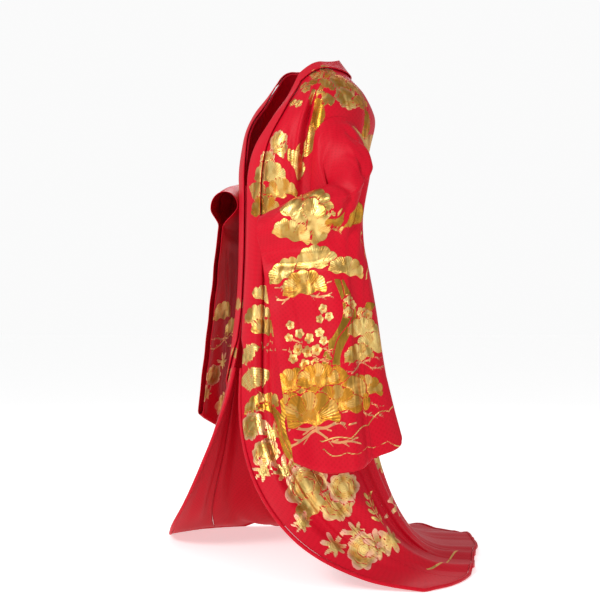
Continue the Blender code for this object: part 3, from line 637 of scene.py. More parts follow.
# Figures on the body cloth: share of the round, share of the rows, then as above
BODY_FIGURES = {
    "left": (
        ("feather", (0.7, 0.125, 0.052, 55, 0.75, 0.1), (0.62, 0.15, 0.05, 80, 0.95, 0.1)),
        ("plum", (0.76, 0.085, 0.017, 10, 0.35, 0.1), (0.66, 0.07, 0.017, 40, 0.3, 0.1),
         (0.84, 0.11, 0.016, 0, 0.35, 0.1), (0.72, 0.115, 0.018, 20, 0.4, 0.1),
         (0.6, 0.09, 0.018, 60, 0.35, 0.1), (0.79, 0.15, 0.017, 35, 0.35, 0.1),
         (0.86, 0.17, 0.015, 15, 0.3, 0.1), (0.67, 0.155, 0.017, 50, 0.4, 0.1),
         (0.8, 0.195, 0.015, 25, 0.3, 0.1)),
        ("fan", (0.72, 0.205, 0.038, -30, 0.55, 0.1), (0.62, 0.185, 0.036, -20, 0.65, 0.1)),
        ("peony", (0.52, 0.165, 0.044, 0, 0.55, 0.2), (0.5, 0.225, 0.04, 20, 0.3, 0.3)),
        ("pine", (0.42, 0.185, 0.042, -20, 0.45)),
        ("fan", (0.38, 0.235, 0.042, 30, 0.75, 0.1)),
        ("feather", (0.33, 0.29, 0.056, 78, 0.85)),
        ("pine", (0.36, 0.33, 0.044, 0, 0.4)),
        ("feather", (0.655, 0.265, 0.056, 86, 1.1)),
        ("peony", (0.84, 0.28, 0.033, 0, 0.1, 0.6)),
        ("plum", (0.8, 0.305, 0.017, 0, 0.05, 0.4)),
        ("peony", (0.88, 0.318, 0.028, 30, 0.1, 0.6)),
        ("feather", (0.675, 0.315, 0.05, 75, 0.55), (0.72, 0.345, 0.048, 118, 0.35)),
        ("pine", (0.86, 0.362, 0.06, 0, 0.15)),
        ("fan", (0.92, 0.395, 0.046, -15, 0.4)),
        ("pine", (0.8, 0.398, 0.054, 10, 0.6), (0.88, 0.425, 0.056, 0, 0.75)),
        ("sprig", (0.7, 0.43, 0.04, 30, 0.3, 0.2)),
        ("twigs", (0.9, 0.612, 0.05, 0, 0.7, 0.35)),
        ("pine", (0.885, 0.548, 0.044, -25, 0.1), (0.915, 0.572, 0.044, 15, 0.15),
         (0.875, 0.59, 0.046, -10, 0.45)),
        ("fan", (0.948, 0.622, 0.046, 25, 0.1), (0.93, 0.65, 0.056, 5, 0.15)),
        ("pine", (0.905, 0.678, 0.052, 0, 0.55)),
        ("peony", (0.955, 0.7, 0.042, 0, 0.1, 0.6), (0.925, 0.73, 0.042, 20, 0.2, 0.5)),
        ("maple", (0.88, 0.708, 0.042, 20, 0.15, 0.5), (0.955, 0.752, 0.04, 50, 0.1, 0.7)),
        ("trunk", (0.84, 0.7, 0.09, 20, 1.45)),
        ("maple", (0.885, 0.752, 0.046, -20, 0.1, 0.7)),
        ("pine", (0.79, 0.745, 0.05, 0, 0.25)),
        ("peony", (0.83, 0.768, 0.062, 0, 0.12, 0.8), (0.77, 0.79, 0.05, 20, 0.2, 0.5)),
        ("pine", (0.87, 0.8, 0.05, 0, 0.3)),
        ("peony", (0.71, 0.77, 0.044, 10, 0.15, 0.8)),
        ("maple", (0.79, 0.83, 0.04, 40, 0.15, 0.8), (0.935, 0.815, 0.036, 0, 0.1, 0.9),
         (0.91, 0.85, 0.046, -30, 0.1, 0.9)),
        ("peony", (0.84, 0.86, 0.046, 0, 0.1, 0.9)),
        ("maple", (0.77, 0.855, 0.05, 15, 0.1, 0.8), (0.7, 0.845, 0.05, 60, 0.15, 0.7)),
        ("sprig", (0.66, 0.8, 0.05, -20, 0.2, 0.4)),
        ("border", (0.58, 0.945, 0.17, -64, 0.25)),
        ("pine", (0.1, 0.3, 0.07, 0, 0.35), (0.13, 0.375, 0.075, 0, 0.7)),
        ("plum", (0.2, 0.43, 0.02, 10, 0.1, 0.3), (0.24, 0.47, 0.022, 40, 0.15, 0.3),
         (0.16, 0.42, 0.018, 0, 0.35, 0.2)),
        ("pine", (0.12, 0.6, 0.08, 0, 0.8), (0.44, 0.52, 0.06, 0, 0.3)),
        ("peony", (0.06, 0.76, 0.056, 0, 0.15, 0.7)),
        ("maple", (0.16, 0.8, 0.05, 20, 0.1, 0.8)),
        ("peony", (0.32, 0.82, 0.052, 10, 0.15, 0.7)),
        ("maple", (0.46, 0.8, 0.05, -20, 0.1, 0.8), (0.24, 0.86, 0.05, 50, 0.15, 0.8)),
        ("pine", (0.22, 0.34, 0.085, 0, 0.2)),
        ("twigs", (0.22, 0.385, 0.09, 0, 0.7, 0.35)),
        ("plum", (0.34, 0.42, 0.026, 20, 0.1, 0.2), (0.28, 0.45, 0.022, 50, 0.1, 0.2)),
        ("trunk", (0.12, 0.47, 0.13, 10, 1.6)),
        ("pine", (0.24, 0.56, 0.09, 0, 0.45), (0.36, 0.6, 0.07, 0, 0.62)),
        ("twigs", (0.28, 0.64, 0.11, 0, 0.7, 0.35)),
        ("peony", (0.14, 0.7, 0.062, 0, 0.15, 0.7), (0.26, 0.75, 0.056, 0, 0.15, 0.7)),
        ("maple", (0.38, 0.74, 0.05, 10, 0.15, 0.7)),
    ),
    "right": (
        ("plum", (0.7, 0.09, 0.014, 10, 0.05, 0.1), (0.62, 0.12, 0.015, 40, 0.05, 0.1)),
        ("fan", (0.52, 0.2, 0.04, 0, 0.25, 0.1)),
        ("pine", (0.4, 0.19, 0.044, 0, 0.15)),
        ("peony", (0.82, 0.3, 0.026, 0, 0.1, 0.6)),
        ("pine", (0.84, 0.38, 0.055, 0, 0.2), (0.82, 0.47, 0.05, 0, 0.3)),
        ("twigs", (0.83, 0.51, 0.06, 0, 0.7, 0.35)),
        ("pine", (0.965, 0.56, 0.036, 0, 0.12), (0.985, 0.62, 0.03, 0, 0.15)),
        ("maple", (0.95, 0.645, 0.034, 20, 0.1, 0.6)),
        ("peony", (0.9, 0.68, 0.044, 0, 0.12, 0.7)),
        ("trunk", (0.8, 0.62, 0.11, 0, 1.6)),
        ("peony", (0.84, 0.76, 0.054, 0, 0.12, 0.7)),
        ("maple", (0.92, 0.8, 0.046, 0, 0.1, 0.8)),
        ("peony", (0.78, 0.84, 0.056, 0, 0.12, 0.7)),
        ("maple", (0.7, 0.8, 0.05, 0, 0.15, 0.7), (0.88, 0.87, 0.05, 30, 0.12, 0.8)),
        ("pine", (0.32, 0.3, 0.06, 0, 0.5), (0.1, 0.4, 0.075, 0, 0.75)),
        ("plum", (0.18, 0.46, 0.02, 20, 0.1, 0.3), (0.38, 0.44, 0.02, 50, 0.15, 0.3)),
        ("pine", (0.42, 0.48, 0.06, 0, 0.35)),
        ("peony", (0.08, 0.75, 0.056, 0, 0.15, 0.7)),
        ("maple", (0.24, 0.81, 0.05, 20, 0.1, 0.8)),
        ("peony", (0.4, 0.83, 0.052, 10, 0.15, 0.7)),
        ("maple", (0.12, 0.84, 0.05, -20, 0.1, 0.8), (0.52, 0.86, 0.05, 50, 0.15, 0.8)),
        ("pine", (0.2, 0.33, 0.08, 0, 0.25)),
        ("plum", (0.32, 0.4, 0.026, 0, 0.1, 0.2), (0.26, 0.43, 0.022, 30, 0.1, 0.2)),
        ("pine", (0.3, 0.52, 0.085, 0, 0.4)),
        ("twigs", (0.3, 0.565, 0.1, 0, 0.7, 0.35)),
        ("trunk", (0.16, 0.58, 0.12, -10, 1.6)),
        ("pine", (0.46, 0.6, 0.07, 0, 0.5)),
        ("peony", (0.2, 0.7, 0.06, 0, 0.15, 0.7), (0.32, 0.74, 0.056, 0, 0.15, 0.7)),
        ("maple", (0.44, 0.75, 0.052, 0, 0.15, 0.7), (0.56, 0.78, 0.05, 0, 0.15, 0.7)),
    ),
}


def lay_figures(cloth, table, surface, up_sign):
    """Stamp a panel's table of figures; the cloth's own up runs along the second share."""
    step = 0.012
    spots = [(figure, *spot) for figure, *run in table for spot in run]
    for figure, a, b, size, turn, tone, *tint in spots:
        middle = surface(cloth.side, a, b)
        first = surface(cloth.side, a + step, b) - surface(cloth.side, a - step, b)
        second = surface(cloth.side, a, b + step) - surface(cloth.side, a, b - step)
        nearest = np.argmin(np.linalg.norm(cloth.points - middle, axis=2))
        normal = np.cross(first, second)
        normal /= np.linalg.norm(normal)
        facing = cloth.normal.reshape(-1, 3)[nearest]
        normal = normal if float(normal @ facing) > 0.0 else -normal
        up = second * (up_sign if b <= 0 or up_sign < 0 else -up_sign)
        up = up - normal * float(up @ normal)
        up /= np.linalg.norm(up)
        cloth.stamp(middle, normal, up, figure, size, turn, tone, tint[0] if tint else 0.0)


def shell(name, cloth, wall, flip, finishes, closed=False, skip=None, even=True):
    """Walled mesh of a cloth grid, with its painted fields as point attributes."""
    rows, columns = cloth.points.shape[:2]
    index = np.arange(rows * columns).reshape(rows, columns)
    across = cloth.across
    if closed:
        index = np.concatenate([index, index[:, :1]], axis=1)
        across = np.minimum(across, across[:, -1:] - across)
    faces = np.stack([index[:-1, :-1], index[:-1, 1:], index[1:, 1:], index[1:, :-1]], -1)
    faces = faces.reshape(-1, 4) if skip is None else faces[~skip]
    faces = faces[:, ::-1] if flip else faces
    used, faces = np.unique(faces, return_inverse=True)
    faces = faces.reshape(-1, 4)
    mesh = bpy.data.meshes.new(name)
    mesh.from_pydata(cloth.points.reshape(-1, 3)[used], [], faces)
    for field, values in (("gold", cloth.gold), ("tone", cloth.tone), ("blush", cloth.blush),
                          ("rib", cloth.rib)):
        paint = mesh.attributes.new(field, "FLOAT", "POINT")
        paint.data.foreach_set("value", values.reshape(-1)[used].astype(np.float32))
    weave = mesh.attributes.new("weave", "FLOAT_VECTOR", "POINT")
    spots = np.stack([across, cloth.down, 0 * across], -1).reshape(-1, 3)[used]
    weave.data.foreach_set("vector", spots.astype(np.float32).ravel())
    for finish in finishes:
        mesh.materials.append(finish)
    raw = bpy.data.objects.new(name, mesh)
    bpy.context.scene.collection.objects.link(raw)
    mod = raw.modifiers.new("wall", "SOLIDIFY")
    mod.thickness = wall
    mod.offset = -1.0
    mod.use_even_offset = even
    mod.material_offset = len(finishes) - 1
    mod.material_offset_rim = len(finishes) - 1
    solid = bpy.data.meshes.new_from_object(raw.evaluated_get(
        bpy.context.evaluated_depsgraph_get()))
    raw.modifiers.clear()
    raw.data = solid
    bpy.data.meshes.remove(mesh)
    solid.name = name
    solid.shade_smooth()
    return raw


def silk_material(name, options, figured=True):
    """Red silk with a woven tonal pattern, and foil where the painted field says so."""
    mat = bpy.data.materials.new(name)
    mat.use_nodes = True
    nodes, links = mat.node_tree.nodes, mat.node_tree.links
    shader = nodes["Principled BSDF"]
    shader.inputs["Specular IOR Level"].default_value = options.gloss
    shader.inputs["Specular Tint"].default_value = (1.0, 0.55, 0.55, 1.0)

    def node(kind, **settings):
        made = nodes.new(kind)
        for key, value in settings.items():
            setattr(made, key, value)
        return made

    def maths(operation, first, second=0.0, third=0.0):
        made = node("ShaderNodeMath", operation=operation)
        for socket, value in zip(made.inputs, (first, second, third)):
            if isinstance(value, (int, float)):
                socket.default_value = value
            else:
                links.new(value, socket)
        return made.outputs[0]

    def blend(factor, first, second):
        made = node("ShaderNodeMix", data_type="RGBA")
        for socket, value in zip((made.inputs["Factor"], made.inputs["A"], made.inputs["B"]),
                                 (factor, first, second)):
            if isinstance(value, tuple):
                socket.default_value = (*value, 1.0)
            elif isinstance(value, (int, float)):
                socket.default_value = value
            else:
                links.new(value, socket)
        return made.outputs["Result"]

    def field(label, output="Fac"):
        return node("ShaderNodeAttribute", attribute_name=label).outputs[output]

    def noise(vector, scale, detail=2.0, distortion=0.0):
        made = node("ShaderNodeTexNoise")
        made.inputs["Scale"].default_value = scale
        made.inputs["Detail"].default_value = detail
        made.inputs["Distortion"].default_value = distortion
        links.new(vector, made.inputs["Vector"])
        return made.outputs[0]

    def bump(height, strength, distance):
        made = node("ShaderNodeBump")
        made.inputs["Strength"].default_value = strength
        made.inputs["Distance"].default_value = distance
        links.new(height, made.inputs["Height"])
        links.new(made.outputs[0], shader.inputs["Normal"])

    # woven ground: small lozenges in rows, and a slow change of shade over the cloth
    split = node("ShaderNodeSeparateXYZ")
    links.new(field("weave", "Vector"), split.inputs[0])
    turn = 2 * math.pi / options.weave
    wave_x = maths("SINE", maths("MULTIPLY", split.outputs[0], turn))
    wave_y = maths("SINE", maths("MULTIPLY", split.outputs[1], turn))
    lozenge = maths("GREATER_THAN", maths("MULTIPLY", wave_x, wave_y), 0.35)
    place = node("ShaderNodeTexCoord").outputs["Object"]
    slow = noise(place, 9.0)
    shade = maths("MULTIPLY_ADD", lozenge, 0.30, maths("MULTIPLY", slow, 0.55))
    red = blend(shade, tuple(options.red), tuple(options.red_deep))
    grain = noise(place, 900.0)
    if not figured:
        links.new(red, shader.inputs["Base Color"])
        shader.inputs["Roughness"].default_value = options.roughness + 0.06
        bump(grain, 0.10, 0.0003)
        return mat

    # foil and coloured thread, in ribs that follow each figure
    foil_pale, foil_amber = tuple(options.foil_pale), tuple(options.foil_amber)
    foil_olive, foil_stripe_and_reflection_dark = tuple(options.foil_olive), tuple(options.foil_stripe_and_reflection_dark)
    blush_colour = tuple(options.blush)
    depth = maths("MULTIPLY", field("gold"), 1000.0)
    mask = node("ShaderNodeClamp")
    links.new(maths("MULTIPLY_ADD", depth, 1.1, 0.5), mask.inputs[0])
    mask = mask.outputs[0]
    rib = maths("MULTIPLY_ADD", maths("SINE", maths("MULTIPLY", field("rib"), 6.2832)), 0.5, 0.5)
    crinkle = noise(place, 140.0, 3.0)
    drawn = node("ShaderNodeVectorMath", operation="MULTIPLY")
    drawn.inputs[1].default_value = (1.25, 1.25, 0.45)
    links.new(place, drawn.inputs[0])
    swell = noise(drawn.outputs[0], 24.0, 1.5, 0.8)
    tone = maths("ADD", field("tone"), maths("MULTIPLY_ADD", crinkle, 0.5, -0.25))
    foil = blend(tone, foil_pale, foil_amber)
    foil = blend(maths("SUBTRACT", tone, 1.0), foil, foil_olive)
    # painted dark reflection: a slow noise darkens the foil towards the dark foil colour, standing
    # in for dark parts of the studio mirrored in creased foil; the rib stripes darken it too
    painted_reflection_dark = maths("MULTIPLY_ADD", swell, 4.2, -1.85)
    painted_reflection_dark = maths("MINIMUM", maths("MAXIMUM", painted_reflection_dark, 0.0), 0.72)
    foil = blend(maths("MAXIMUM", maths("MULTIPLY", rib, 0.30), painted_reflection_dark), foil, foil_stripe_and_reflection_dark)
    blush = field("blush")
    foil = blend(blush, foil, blush_colour)
    links.new(blend(mask, red, foil), shader.inputs["Base Color"])
    shine = maths("MULTIPLY", mask, maths("MULTIPLY_ADD", blush, -0.45, options.metal))
    links.new(shine, shader.inputs["Metallic"])
    smooth = maths("MULTIPLY_ADD", mask, options.foil_roughness - options.roughness,
                   options.roughness)
    links.new(maths("MULTIPLY_ADD", crinkle, 0.10, maths("SUBTRACT", smooth, 0.05)),
              shader.inputs["Roughness"])
    relief = maths("MULTIPLY", mask, maths("MULTIPLY_ADD", rib, 0.35, 0.6))
    relief = maths("ADD", relief, maths("MULTIPLY", grain, 0.12))
    rough = maths("MULTIPLY_ADD", swell, 2.5, maths("MULTIPLY", crinkle, 0.6))
    relief = maths("ADD", relief, maths("MULTIPLY", mask, rough))
    bump(relief, 0.55, options.relief)
    return mat


def finishes(context):
    """The two silks, made once."""
    options = context.scene.uchi_silk
    silk = bpy.data.materials.get("figured silk") or silk_material("figured silk", options)
    plain = bpy.data.materials.get("plain silk") or silk_material("plain silk", options, False)
    return silk, plain


def settle(obj, nodes):
    """Put a finished piece in the place of its solid."""
    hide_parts(*nodes)
    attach(obj, "root")


def pieces_of(breaks, counts):
    """A run of shares with lines exactly at the breaks."""
    runs = [np.linspace(low, high, count + 1)[:-1]
            for low, high, count in zip(breaks, breaks[1:], counts)]
    return np.concatenate(runs + [[breaks[-1]]])


class UchiSilk(bpy.types.PropertyGroup):
    """Look of the cloth."""

    roughness: bpy.props.FloatProperty(
        name="Silk roughness", description="Roughness of the red silk", default=0.46,
        min=0.0, max=1.0)
    foil_roughness: bpy.props.FloatProperty(
        name="Foil roughness", description="Roughness of the gold foil", default=0.34,
        min=0.0, max=1.0)
    metal: bpy.props.FloatProperty(
        name="Foil metal", description="How metallic the foil is", default=0.90,
        min=0.0, max=1.0)
    gloss: bpy.props.FloatProperty(
        name="Gloss", description="Strength of the silk's pale gloss", default=0.20,
        min=0.0, max=1.0)
    weave: bpy.props.FloatProperty(
        name="Weave repeat", description="Repeat of the woven ground", default=0.014,
        min=0.002, max=0.1, unit="LENGTH")
    relief: bpy.props.FloatProperty(
        name="Foil relief", description="Height of the foil's shaded relief",
        default=0.0011, min=0.0, max=0.005, unit="LENGTH")
    red: bpy.props.FloatVectorProperty(
        name="Silk red", description="Colour of the silk", subtype="COLOR",
        default=RED, min=0.0, max=1.0)
    red_deep: bpy.props.FloatVectorProperty(
        name="Silk deep red", description="Colour of the woven lozenges", subtype="COLOR",
        default=RED_DEEP, min=0.0, max=1.0)
    foil_pale: bpy.props.FloatVectorProperty(
        name="Pale foil", description="Colour of figures with tone 0", subtype="COLOR",
        default=FOIL_PALE, min=0.0, max=1.0)
    foil_amber: bpy.props.FloatVectorProperty(
        name="Amber foil", description="Colour of figures with tone 1", subtype="COLOR",
        default=FOIL_AMBER, min=0.0, max=1.0)
    foil_olive: bpy.props.FloatVectorProperty(
        name="Olive foil", description="Colour of figures with tone 2", subtype="COLOR",
        default=FOIL_OLIVE, min=0.0, max=1.0)
    # the dark foil colour: painted dark reflection on creased foil, and the colour of the rib
    # stripes
    foil_stripe_and_reflection_dark: bpy.props.FloatVectorProperty(
        name="Foil shade", description="Colour of the foil's worn places", subtype="COLOR",
        default=FOIL_STRIPE_AND_REFLECTION_DARK, min=0.0, max=1.0)
    blush: bpy.props.FloatVectorProperty(
        name="Petal tint", description="Tint at the tips of some petals", subtype="COLOR",
        default=BLUSH, min=0.0, max=1.0)


class UchiMesh(bpy.types.PropertyGroup):
    """How fine the cloth is made."""

    body_rows: bpy.props.IntProperty(
        name="Body rows", description="Cells down the photographed body panel", default=310,
        min=30, max=400)
    body_columns: bpy.props.IntProperty(
        name="Body columns", description="Cells across that panel", default=150,
        min=20, max=300)
    sleeve_across: bpy.props.IntProperty(
        name="Sleeve cells", description="Cells from armhole to cuff", default=130,
        min=12, max=200)
    sleeve_down: bpy.props.IntProperty(
        name="Sleeve rows", description="Cells down the outer layer of a sleeve", default=270,
        min=30, max=400)
    far_share: bpy.props.FloatProperty(
        name="Far side share", description="Cell count of the far side against the near side",
        default=0.75, min=0.3, max=1.0)


class UchiStage(bpy.types.PropertyGroup):
    """Camera and studio."""

    azimuth: bpy.props.FloatProperty(
        name="Azimuth", description="Camera's way round from the front",
        default=math.radians(65), subtype="ANGLE")
    distance: bpy.props.FloatProperty(
        name="Distance", description="Camera's distance from the garment's axis",
        default=3.6, min=1.0, unit="LENGTH")
    height: bpy.props.FloatProperty(
        name="Height", description="Camera's height above the floor", default=0.73,
        unit="LENGTH")
    lens: bpy.props.FloatProperty(
        name="Lens", description="Focal length", default=77.1, min=10.0, unit="CAMERA")
    shift: bpy.props.FloatProperty(
        name="Shift", description="Sideways shift of the picture", default=-0.0133,
        min=-1.0, max=1.0)
    key: bpy.props.FloatProperty(
        name="Key light", description="Power of the main light", default=100.0, min=0.0)
    sky: bpy.props.FloatProperty(
        name="Sky light", description="Strength of the even light from all round",
        default=0.50, min=0.0, max=2.0)


def body_grid(side, rows, columns, lift=0.0, inset=None):
    """Grid of a front-and-back panel, with lines round the armhole."""
    v = pieces_of((0.0, *ARMHOLE_V, 0.60, 0.88, 1.0),
                  [round(rows * part) for part in ROW_PARTS])[:, None]
    share = pieces_of((0.0, *ARMHOLE_U, 1.0),
                      [round(columns * part) for part in COLUMN_PARTS[side]])
    end = okumi_share(v) - np.where(okumi_share(v) < 1.0, OKUMI_GAP, 0.0)
    u = share[None, :] * end
    u[:, 0] = CENTRE_GAP if inset is None else inset
    points = body_layer(side, u, v, lift) if lift else body_surface(side, u, v)
    middle_u = (share[:-1] + share[1:]) / 2
    middle_v = (v[:-1, 0] + v[1:, 0]) / 2
    hole = ((middle_v > ARMHOLE_V[0]) & (middle_v < ARMHOLE_V[1]))[:, None] & (
        (middle_u > ARMHOLE_U[0]) & (middle_u < ARMHOLE_U[1]))[None, :]
    return points, hole


def okumi_grid(side, rows, columns, lift=0.0):
    """Grid of the overlap panel along the front edge."""
    v = np.linspace(OKUMI_TOP, 1.0, rows + 1)[:, None]
    start = okumi_share(v) + OKUMI_GAP * (3.0 if lift else 1.0)
    u = start + (1.0 - start) * np.linspace(0.0, 1.0, columns + 1)[None, :]
    return body_layer(side, u, v, lift) if lift else body_surface(side, u, v)


def sleeve_run(count):
    """Places from the fold over the arm to the bottom, closer at the bottom fold."""
    hang = UNDER_SHARE + (1.0 - UNDER_SHARE) * BOTTOM_FOLD
    fold = ARM_SHARE + (1.0 - ARM_SHARE) * hang
    return pieces_of((0.0, ARM_SHARE, fold, 1.0),
                     (round(count * 0.2), round(count * 0.74), round(count * 0.06)))


def collar_grid(side, lift):
    """Collar points from the centre back round the neck and down one front edge."""
    round_neck, down_edge, wide = COLLAR_CELLS
    neck = np.linspace(0.0, 1.0, round_neck + 1)
    run = np.linspace(0.0, COLLAR_END, down_edge + 1)[1:]
    edge = np.concatenate([np.stack([neck, 0 * neck], -1), np.stack([0 * run + 1.0, run], -1)])
    inner = np.concatenate([np.stack([neck * (1.0 - COLLAR_WIDE), 0 * neck + COLLAR_DEEP], -1),
                            np.stack([0 * run + 1.0 - COLLAR_WIDE, run + COLLAR_DEEP], -1)])
    across = np.linspace(0.0, 1.0, wide + 1)[None, :, None]
    uv = edge[:, None, :] + (inner - edge)[:, None, :] * across
    return body_layer(side, uv[..., 0], uv[..., 1], lift)


def roll_path(side):
    """Middle line of a roll: down the front edge from the collar's end, then the hem."""
    front, overlap, hem = ROLL_CELLS
    down = np.linspace(ROLL_START, 1.0, front + 1)
    start = float(okumi_share(1.0))
    across = np.concatenate([np.linspace(1.0, start, overlap + 1)[1:],
                             np.linspace(start, 0.0, hem + 1)[1:]])
    u = np.concatenate([0 * down + 1.0, across])
    v = np.concatenate([down, 0 * across + 1.0])
    edge = body_layer(side, u, v, -CLOTH)
    inside = body_layer(side, np.minimum(u, 0.99), np.minimum(v, 0.985), -CLOTH)
    run = np.gradient(edge, axis=0)
    run /= np.linalg.norm(run, axis=1, keepdims=True)
    away = edge - inside
    away -= run * np.sum(away * run, axis=1, keepdims=True)
    away /= np.linalg.norm(away, axis=1, keepdims=True)
    points = edge + away * (ROLL_RADIUS + SEAM_GAP + ROLL_EASE)
    points[:, 2] = np.maximum(points[:, 2], FLOOR_Z + ROLL_RADIUS + SEAM_GAP)
    points[-1] = points[-2] + (points[-1] - points[-2]) * 0.9
    return points


def tube(name, points, radius, finish):
    """Round padded tube along a line of points, with shallow puckers and flat capped ends."""
    run = np.gradient(points, axis=0)
    run /= np.linalg.norm(run, axis=1, keepdims=True)
    rise = np.array([0.0, 0.0, 1.0]) - run * run[:, 2:3]
    rise /= np.linalg.norm(rise, axis=1, keepdims=True)
    level = np.cross(run, rise)
    turn = np.linspace(0.0, 2 * math.pi, ROLL_SIDES + 1)[:-1]
    place = np.arange(len(points))
    full = radius * (1.0 - 0.04 * (0.5 + 0.5 * np.sin(place * 0.9 + np.sin(place * 0.23) * 2)))
    ring = (np.cos(turn)[None, :, None] * level[:, None, :]
            + np.sin(turn)[None, :, None] * rise[:, None, :])
    skin = points[:, None, :] + ring * full[:, None, None]
    count = len(points)
    index = np.arange(count * ROLL_SIDES).reshape(count, ROLL_SIDES)
    index = np.concatenate([index, index[:, :1]], axis=1)
    faces = np.stack([index[:-1, :-1], index[1:, :-1], index[1:, 1:], index[:-1, 1:]], -1)
    faces = [tuple(face) for face in faces.reshape(-1, 4).tolist()]
    faces += [tuple(index[0, :-1].tolist()), tuple(index[-1, -2::-1].tolist())]
    mesh = bpy.data.meshes.new(name)
    mesh.from_pydata(skin.reshape(-1, 3), [], faces)
    along_it = np.repeat(place * 0.005, ROLL_SIDES)
    weave = mesh.attributes.new("weave", "FLOAT_VECTOR", "POINT")
    around = np.tile(turn * radius, count)
    weave.data.foreach_set("vector", np.stack([around, along_it, 0 * around], -1)
                           .astype(np.float32).ravel())
    mesh.materials.append(finish)
    mesh.shade_smooth()
    obj = bpy.data.objects.new(name, mesh)
    bpy.context.scene.collection.objects.link(obj)
    return obj


class UCHIKAKE_OT_bodies(bpy.types.Operator):
    """Build both body panels and both overlap panels, with their figures"""

    bl_idname = "uchikake.bodies"
    bl_label = "Body panels"

    def execute(self, context):
        mesh = context.scene.uchi_mesh
        silk, plain = finishes(context)
        for side, word in ((1, "left"), (-1, "right")):
            share = 1.0 if side > 0 else mesh.far_share
            points, hole = body_grid(side, round(mesh.body_rows * share),
                                     round(mesh.body_columns * share))
            cloth = Cloth(points, side, side)
            lay_figures(cloth, BODY_FIGURES[word], body_surface, -1)
            obj = shell("body_cloth_" + word, cloth, CLOTH, side < 0, (silk, plain), skip=hole)
            settle(obj, ("body_" + word,))
            rows = round(mesh.body_rows * OVERLAP_ROW_SHARE * share)
            columns = round(OVERLAP_COLUMNS * share)
            cloth = Cloth(okumi_grid(side, rows, columns), side, side)
            lay_figures(cloth, BODY_FIGURES[word], body_surface, -1)
            obj = shell("overlap_cloth_" + word, cloth, CLOTH, side < 0, (silk, plain))
            settle(obj, ("okumi_" + word,))
        return {"FINISHED"}


class UCHIKAKE_OT_linings(bpy.types.Operator):
    """Build the plain linings behind the body and overlap panels"""

    bl_idname = "uchikake.linings"
    bl_label = "Linings"

    def execute(self, context):
        plain = finishes(context)[1]
        sink = -(CLOTH + LAYER_GAP)
        for side, word in ((1, "left"), (-1, "right")):
            points, hole = body_grid(side, *LINING_CELLS, lift=sink, inset=LINING_INSET)
            obj = shell("lining_cloth_" + word, Cloth(points, side, side), LINING, side < 0,
                        (plain,), skip=hole)
            settle(obj, ("lining_" + word,))
            points = okumi_grid(side, *OVERLAP_LINING_CELLS, lift=sink)
            obj = shell("overlap_lining_" + word, Cloth(points, side, side), LINING, side < 0,
                        (plain,))
            settle(obj, ("lining_okumi_" + word,))
        return {"FINISHED"}


class UCHIKAKE_OT_sleeves(bpy.types.Operator):
    """Build both long sleeves, each one folded length, with their figures"""

    bl_idname = "uchikake.sleeves"
    bl_label = "Sleeves"

    def execute(self, context):
        mesh = context.scene.uchi_mesh
        silk, plain = finishes(context)
        for side, word in ((1, "left"), (-1, "right")):
            share = 1.0 if side > 0 else mesh.far_share
            s = np.linspace(0.0, 1.0, round(mesh.sleeve_across * share) + 1)[:, None]
            outer = sleeve_run(round(mesh.sleeve_down * share))
            inner = sleeve_run(round(mesh.sleeve_down * INNER_ROW_SHARE[side]))
            w = np.concatenate([-outer[::-1], inner[1:-1]])[None, :]
            cloth = Cloth(sleeve_surface(side, s, w), side, side)
            lay_figures(cloth, SLEEVE_FIGURES[word], sleeve_surface, 1)
            obj = shell("sleeve_cloth_" + word, cloth, CLOTH, side > 0, (plain, silk),
                        closed=True, even=False)
            settle(obj, ("sleeve_" + word,))
        return {"FINISHED"}


class UCHIKAKE_OT_collar(bpy.types.Operator):
    """Build the collar band, round the neck and down both front edges"""

    bl_idname = "uchikake.collar"
    bl_label = "Collar"

    def execute(self, context):
        silk, plain = finishes(context)
        lift = SEAM_GAP + COLLAR_CLOTH + COLLAR_EASE
        left, right = collar_grid(1, lift), collar_grid(-1, lift)
        middle = (left[:1] + right[:1]) / 2
        points = np.concatenate([left[:0:-1], middle, right[1:]])
        cloth = Cloth(points, 1, 1)
        for side, word in ((1, "left"), (-1, "right")):
            cloth.side = side
            lay_figures(cloth, BODY_FIGURES[word], body_surface, -1)
        obj = shell("collar_band", cloth, COLLAR_CLOTH, False, (silk, plain))
        settle(obj, ("collar",))
        return {"FINISHED"}


class UCHIKAKE_OT_rolls(bpy.types.Operator):
    """Build the wadded rolls along the front edges and the hem"""

    bl_idname = "uchikake.rolls"
    bl_label = "Hem rolls"

    def execute(self, context):
        plain = finishes(context)[1]
        for side, word in ((1, "left"), (-1, "right")):
            obj = tube("roll_cloth_" + word, roll_path(side), ROLL_RADIUS, plain)
            settle(obj, ("hem_roll_" + word,))
        return {"FINISHED"}


